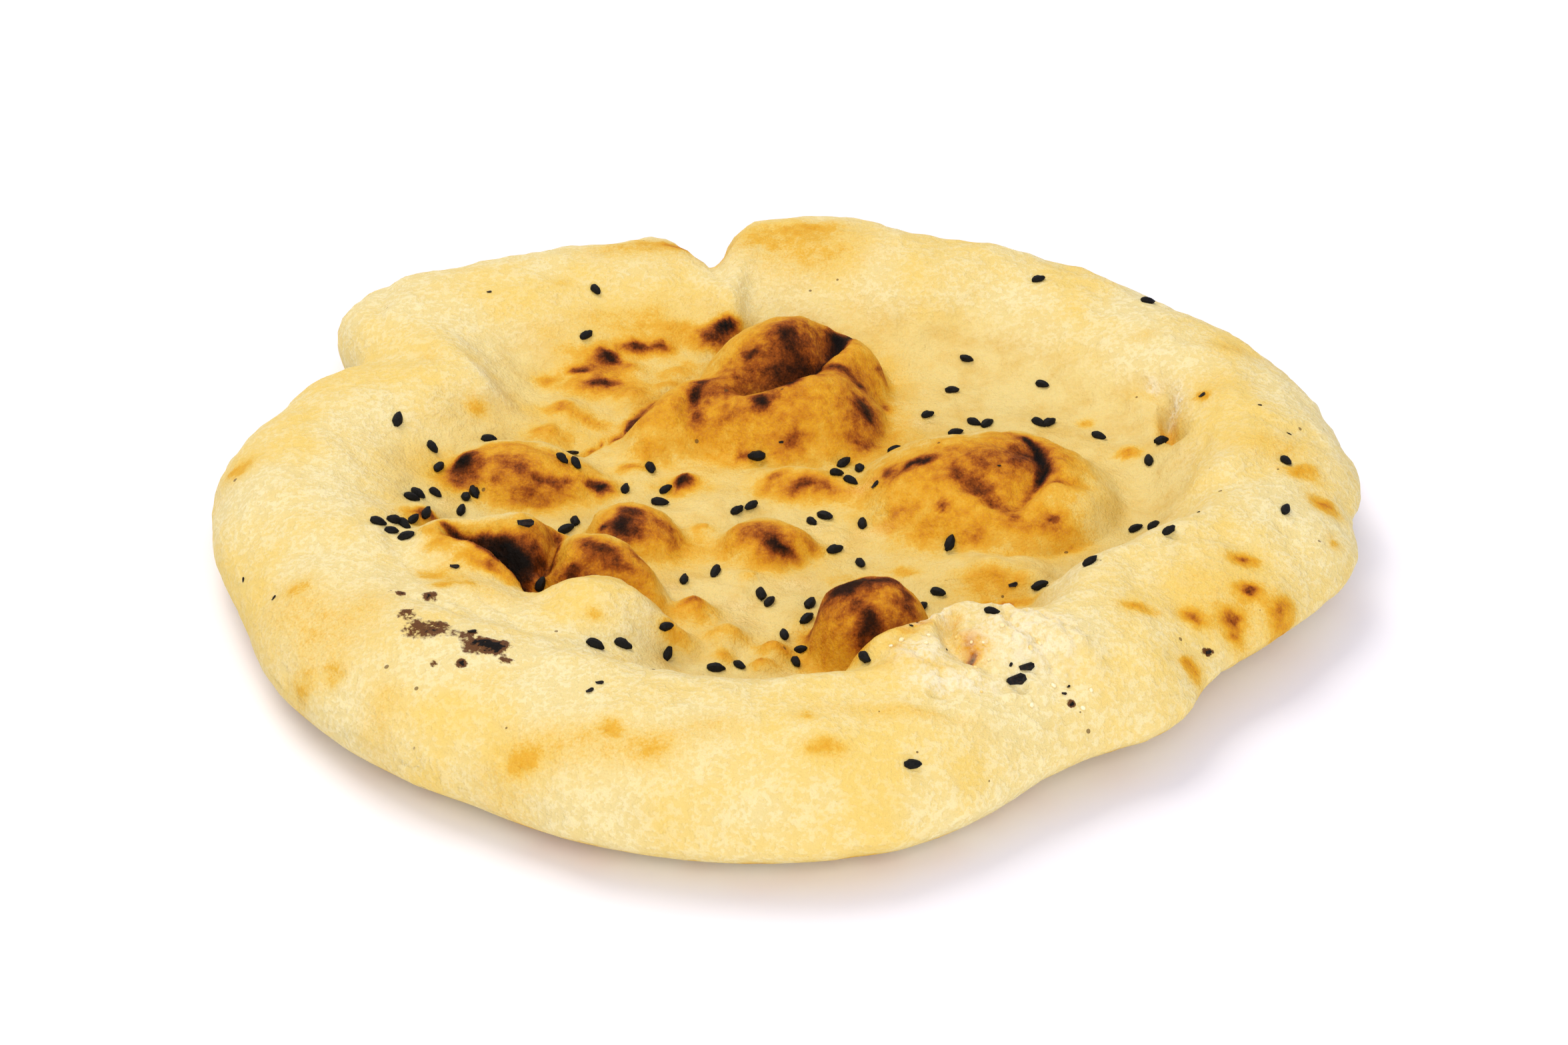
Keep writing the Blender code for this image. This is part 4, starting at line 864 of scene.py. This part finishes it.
seedForm = dict(
    length=3.1, width=1.8, height=1.5, shapes=5, sizes=(0.88, 1.1), draw=11,
    sunk=0.25,                 # share of the height that sits in the crust
    # an angular drop: sides, place and radius of its blunt end, and then step and
    # radius of each ring up to its pointed end
    sides=6, bluntEnd=(-0.48, 0.22),
    rings=[(0.10, 0.36), (0.16, 0.48), (0.22, 0.50), (0.22, 0.42), (0.17, 0.26), (0.09, 0.12)],
    uneven=0.08, edgeWidth=0.05, edgeAngle=12, smoothAngle=24,
    # nigella seed coat: near black and matt with a fine pitted skin, which keeps
    # the seeds crisp against the pale crust
    finish="nigellaSeedCoat", pits=(0.35, 3), pitDepth=0.12, patches=(0.35, 3),
    tones=[(0.35, "#070707"), (0.75, "#171614")], roughness=0.65, specular=0.15, translucence=0,
)

# Where each seed fell: x, y and the turn of its length.
seedPlaces = [
    # back and left wall of the dish
    (-37, 64, -60), (-38.5, 52.5, 50), (-71.5, 17.5, 85), (-65, 13.5, -52), (-63.5, 9, 70),
    (-55, 19, 0), (-41, 9, -40), (-38.5, 8.5, -60), (-66.5, -1, -30), (-67.5, -3, 15),
    (-63.5, 0.5, -30), (-64, -11.5, 80), (-66, -14, 60), (-69, -17.5, 30), (-71.5, -20.5, 10),
    (-69, -22, 5), (-67.5, -17.5, -40), (-66, -24, -10), (-56.5, 2.5, -70), (-58, 0.5, 100),
    (-58.5, -3.5, 80),
    # back right
    (49, 65.5, 0), (69.5, 58, 20), (34.5, 49.5, -20), (31.5, 40, -15), (48.5, 39.5, -30),
    (26.5, 31.5, 30), (31.5, 24.5, 20), (35, 28, -35), (37.5, 27.5, 50), (47, 27, -25),
    (49, 27.5, 40), (58, 22.5, -35), (69, 17, 30), (66.5, 13, 90), (20, 17, 15),
    # middle of the dish
    (-5.5, 14.5, 175), (10.5, 13.5, 50), (13.5, 11, -80), (9, 6, 35), (11.5, 4, -20),
    (-9, -2.5, 45), (-6.5, -1.5, 220), (4.5, -6, -60), (7, -4, -30), (13.5, -7.5, 90),
    (8.5, -14.5, 30), (13, -19, -75), (29, -15.5, 65), (-25, 12, -75), (-22, 6, 35),
    (-29.5, 5.5, 85), (-23, 1.5, 0), (-38, -5.5, 100), (-39.5, -8, 35), (-42.5, -32, 60),
    (-18, -24.5, 85), (-12.5, -22, 250), (-4.5, -28.5, 100), (-3, -31, 60), (-20.5, -46.5, 30),
    (-20.5, -49, 90),
    # round the scorched dome and the flap
    (4, -31, 70), (3.5, -36, 50), (-0.5, -40.5, 100), (2.5, -44.5, -15), (1.5, -48.5, -72),
    (-8, -51, -50), (-12, -52, 0), (23.5, -32, 60), (26.5, -27.5, -30), (13, -64.5, -60),
    (34, -55, 15), (44, -29.5, 20),
    # the rim
    (62.5, -8, 20), (65.5, -10.5, 50), (66, -27, 40), (52, -36, 20), (89.5, 0, -60),
    (87.5, -16.5, 70), (-32, -57, -5), (-27.5, -54.5, -10), (20, -89, 5),
]


# A seed with dents of its own, modelled one long and brought to its real size.
def modelSeed(shape):
    place, radius = seedForm["bluntEnd"]
    bpy.ops.mesh.primitive_circle_add(vertices=seedForm["sides"], radius=radius, fill_type="NGON",
                                      location=(place, 0, 0), rotation=(0, math.pi / 2, 0))
    seed = bpy.context.object
    bpy.ops.object.transform_apply(location=True, rotation=True)
    startEditing()
    for step, nextRadius in seedForm["rings"]:
        bpy.ops.mesh.extrude_region_move(TRANSFORM_OT_translate={"value": (step, 0, 0)})
        place += step
        grow = nextRadius / radius
        bpy.ops.transform.resize(value=(1, grow, grow), center_override=(place, 0, 0))
        radius = nextRadius
    bpy.ops.mesh.select_all(action="SELECT")
    bpy.ops.transform.vertex_random(offset=seedForm["uneven"], seed=shape)
    bpy.ops.mesh.normals_make_consistent(inside=False)
    bpy.ops.object.mode_set(mode="OBJECT")
    applyModifier(seed, "BEVEL", width=seedForm["edgeWidth"], segments=2,
                  angle_limit=math.radians(seedForm["edgeAngle"]))
    seed.dimensions = Vector((seedForm["length"], seedForm["width"], seedForm["height"])) * mm
    bpy.ops.object.transform_apply(scale=True)
    bpy.ops.object.shade_smooth_by_angle(angle=math.radians(seedForm["smoothAngle"]))
    return seed


# The finish of a small topping: two tones in patches, over fine pits. Pits and
# patches are given by size in millimetres and detail.
def toppingFinish(form):
    material, add = newMaterial(form["finish"])
    place = add("TexCoord").outputs["Object"]
    pits, patches = [add("TexNoise", {"Vector": place, "Scale": 1 / (size * mm), "Detail": detail})
                     for size, detail in (form["pits"], form["patches"])]
    tone = add("ValToRGB", {"Fac": patches}, stops=form["tones"])
    bump = add("Bump", {"Height": pits, "Distance": form["pitDepth"] * mm, "Strength": 1})
    shader = add("BsdfPrincipled", {
        "Base Color": tone, "Roughness": form["roughness"], "Specular IOR Level": form["specular"],
        "Normal": bump, "Subsurface Weight": form["translucence"], "Subsurface Radius": (1, 0.6, 0.3),
        "Subsurface Scale": mm})
    add("OutputMaterial", {"Surface": shader})
    return material


# A copy of a small thing, with its own mesh, laid where the crust lies under x, y,
# looked for from 100 mm up.
def layOn(crust, original, x, y, turn, size, lift):
    above = Vector((x, y, 100)) * mm - breadMiddle
    point, normal, _, _ = crust.ray_cast(above, Vector((0, 0, -1)))
    tilt = Vector((0, 0, 1)).rotation_difference(normal).to_matrix().to_4x4()
    copy = bpy.data.objects.new(original.name, original.data.copy())
    copy.data.transform(Matrix.Translation(point + normal * lift * mm) @ tilt
                        @ Matrix.Rotation(math.radians(turn), 4, "Z") @ Matrix.Scale(size, 4))
    bpy.context.scene.collection.objects.link(copy)
    return copy


# Lays copies of small things on the crust and joins them into one piece. A place
# is x, y, turn, size, and how far the copy's middle is lifted.
def layTopping(name, form, crust, originals, places):
    copies = [layOn(crust, originals[k % len(originals)], *place) for k, place in enumerate(places)]
    for original in originals:
        bpy.data.objects.remove(original)
    bpy.ops.object.select_all(action="DESELECT")
    for copy in copies:
        copy.select_set(True)
    bpy.context.view_layer.objects.active = copies[0]
    bpy.ops.object.join()
    piece = bpy.context.object
    piece.name = piece.data.name = name
    piece.select_set(False)
    piece.data.materials.clear()
    piece.data.materials.append(toppingFinish(form))
    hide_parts("naan")
    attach(piece, "root")
    return len(copies)


def makeSeeds(crust):
    originals = [modelSeed(shape) for shape in range(seedForm["shapes"])]
    lift = seedForm["height"] * (0.5 - seedForm["sunk"])
    draw = random.Random(seedForm["draw"])
    places = [(x, y, turn, draw.uniform(*seedForm["sizes"]), lift) for x, y, turn in seedPlaces]
    return layTopping("seeds", seedForm, crust, originals, places)


crustTree = BVHTree.FromObject(bread, bpy.context.evaluated_depsgraph_get())
print("seeds laid,", makeSeeds(crustTree))


flakeForm = dict(
    width=0.55, thickness=0.14, inset=0.12, corners=9, ragged=0.09, draw=5, lift=0.05,
    # burnt crust: dull black with a little brown, rough all over
    finish="burntCrust", pits=(0.5, 3), pitDepth=0.25, patches=(0.5, 3),
    tones=[(0.45, "#0D0C0B"), (0.75, "#2C1B0F")], roughness=0.6, specular=0.2, translucence=0,
)

# Flakes of burnt crust that came off the oven's wall: x, y, turn, length.
flakePlaces = [
    (39.4, -66.2, 10, 2.6), (37.4, -69.2, 30, 3.6), (45.4, -69.6, 0, 0.9), (46.2, -68, 60, 0.8),
    (26.2, -63.5, 30, 0.6), (36.7, -66, 70, 1.0), (20.5, -58.8, 0, 0.8), (-45.4, -23.1, 5, 3.0),
    (-57, -34, -5, 1.7), (-31.9, -75.3, 30, 1.4), (-30.4, -73.4, 10, 1.4), (-87.7, -38.9, 40, 1.1),
    (-94.4, -28.8, 80, 1.0), (16, 0.6, 30, 1.8), (39.5, -28.1, 0, 1.7), (-39.6, 17.6, -40, 2.9),
    (-1, 15.6, 0, 0.9), (38, -1.8, 0, 0.7), (76.8, 23.6, 20, 1.4), (86.5, 16.5, 0, 0.8),
    (91, 8.5, -20, 1.0), (-57.5, 62, 0, 1.0), (71, -51.5, 35, 1.2), (-52.1, -58.8, 15, 1.5),
    (72, -19, 0, 0.6),
]


# A thin ragged chip, one long and lying flat.
def modelFlake():
    bpy.ops.mesh.primitive_circle_add(vertices=flakeForm["corners"], radius=0.5, fill_type="NGON")
    flake = bpy.context.object
    startEditing()
    bpy.ops.transform.resize(value=(1, flakeForm["width"], 1), center_override=(0, 0, 0))
    bpy.ops.mesh.extrude_region_move(TRANSFORM_OT_translate={"value": (0, 0, flakeForm["thickness"])})
    bpy.ops.mesh.inset(thickness=flakeForm["inset"])
    bpy.ops.mesh.select_all(action="SELECT")
    bpy.ops.transform.vertex_random(offset=flakeForm["ragged"], seed=flakeForm["draw"])
    bpy.ops.mesh.normals_make_consistent(inside=False)
    bpy.ops.object.mode_set(mode="OBJECT")
    return flake


def makeFlakes(crust):
    places = [(x, y, turn, length * mm, flakeForm["lift"]) for x, y, turn, length in flakePlaces]
    return layTopping("charFlakes", flakeForm, crust, [modelFlake()], places)


print("flakes laid,", makeFlakes(crustTree))


crumbForm = dict(
    middle=(30, -64), reach=(24, 12),   # of the place round the torn flap where they fell
    inward=0.7,                         # how they crowd towards its middle, 0.5 for not at all
    count=24, sizes=(0.4, 1.1), draw=4,
    width=0.8, height=0.62, uneven=0.13, sunk=0.2,   # as shares of a crumb's length
    shapeDraw=8,
    # dried crumb: cream white, open and soft-looking, a little gold where it toasted
    finish="driedCrumb", pits=(0.6, 3), pitDepth=0.3, patches=(6, 2),
    tones=[(0.42, "#FAEBC0"), (0.62, "#F2CF7C")], roughness=0.75, specular=0.5, translucence=0.15,
)


# A rough lump, one long.
def modelCrumb():
    bpy.ops.mesh.primitive_ico_sphere_add(subdivisions=2, radius=0.5)
    crumb = bpy.context.object
    startEditing()
    bpy.ops.transform.vertex_random(offset=crumbForm["uneven"], seed=crumbForm["shapeDraw"])
    bpy.ops.transform.resize(value=(1, crumbForm["width"], crumbForm["height"]),
                             center_override=(0, 0, 0))
    bpy.ops.object.mode_set(mode="OBJECT")
    bpy.ops.object.shade_smooth()
    return crumb


def makeCrumbs(crust):
    middle, reach = crumbForm["middle"], crumbForm["reach"]
    lift = 0.5 * crumbForm["height"] - crumbForm["sunk"]
    draw = random.Random(crumbForm["draw"])
    places = []
    for _ in range(crumbForm["count"]):
        a = draw.uniform(0, 2 * math.pi)
        r = draw.uniform(0, 1) ** crumbForm["inward"]
        size = draw.uniform(*crumbForm["sizes"])
        places.append((middle[0] + r * reach[0] * math.cos(a), middle[1] + r * reach[1] * math.sin(a),
                       draw.uniform(0, 360), size * mm, size * lift))
    return layTopping("crumbs", crumbForm, crust, [modelCrumb()], places)


print("crumbs laid,", makeCrumbs(crustTree))


studio = dict(
    tableSize=12.0, tableColor="#F4F5FB",
    skyColor="#DDE0FF", skyStrength=0.74, lampColor="#FFF4DC",
    keyPower=20.0, keySize=1.2, keyPlace=(-0.65, 0.7, 1.45),
    fillPower=16.0, fillSize=1.2, fillPlace=(0.3, -1.3, 0.8),
    lens=85.0, sensor=36.0, cameraElevation=33.0, cameraDistance=665.0, cameraAim=(-0.5, -5.2, 10.0),
)


def addSoftLight(name, place, power, size):
    turn = (-Vector(place)).to_track_quat("-Z", "Y").to_euler()
    bpy.ops.object.light_add(type="AREA", location=place, rotation=turn)
    light = bpy.context.object
    light.name = name
    light.data.energy = power
    light.data.color = hexColor(studio["lampColor"])[:3]
    light.data.size = size


def makeStudio():
    bpy.ops.mesh.primitive_plane_add(size=studio["tableSize"])
    table = bpy.context.object
    table.name = "studioTable"
    material, add = newMaterial("whiteTable")
    shader = add("BsdfPrincipled", {"Base Color": studio["tableColor"], "Roughness": 0.9})
    add("OutputMaterial", {"Surface": shader})
    table.data.materials.append(material)

    world = bpy.data.worlds.new("studioAir")
    world.use_nodes = True
    air = world.node_tree.nodes["Background"].inputs
    air["Color"].default_value = hexColor(studio["skyColor"])
    air["Strength"].default_value = studio["skyStrength"]
    bpy.context.scene.world = world
    addSoftLight("keyLight", studio["keyPlace"], studio["keyPower"], studio["keySize"])
    addSoftLight("fillLight", studio["fillPlace"], studio["fillPower"], studio["fillSize"])

    elevation = math.radians(studio["cameraElevation"])
    aim = Vector(studio["cameraAim"]) * mm - breadMiddle
    back = Vector((0, -math.cos(elevation), math.sin(elevation))) * studio["cameraDistance"] * mm
    turn = (-back).to_track_quat("-Z", "Y").to_euler()
    bpy.ops.object.camera_add(location=aim + back, rotation=turn)
    camera = bpy.context.object
    camera.data.lens = studio["lens"]
    camera.data.sensor_width = studio["sensor"]
    bpy.context.scene.camera = camera
    bpy.context.scene.view_settings.view_transform = "Standard"


makeStudio()
print("studio set")
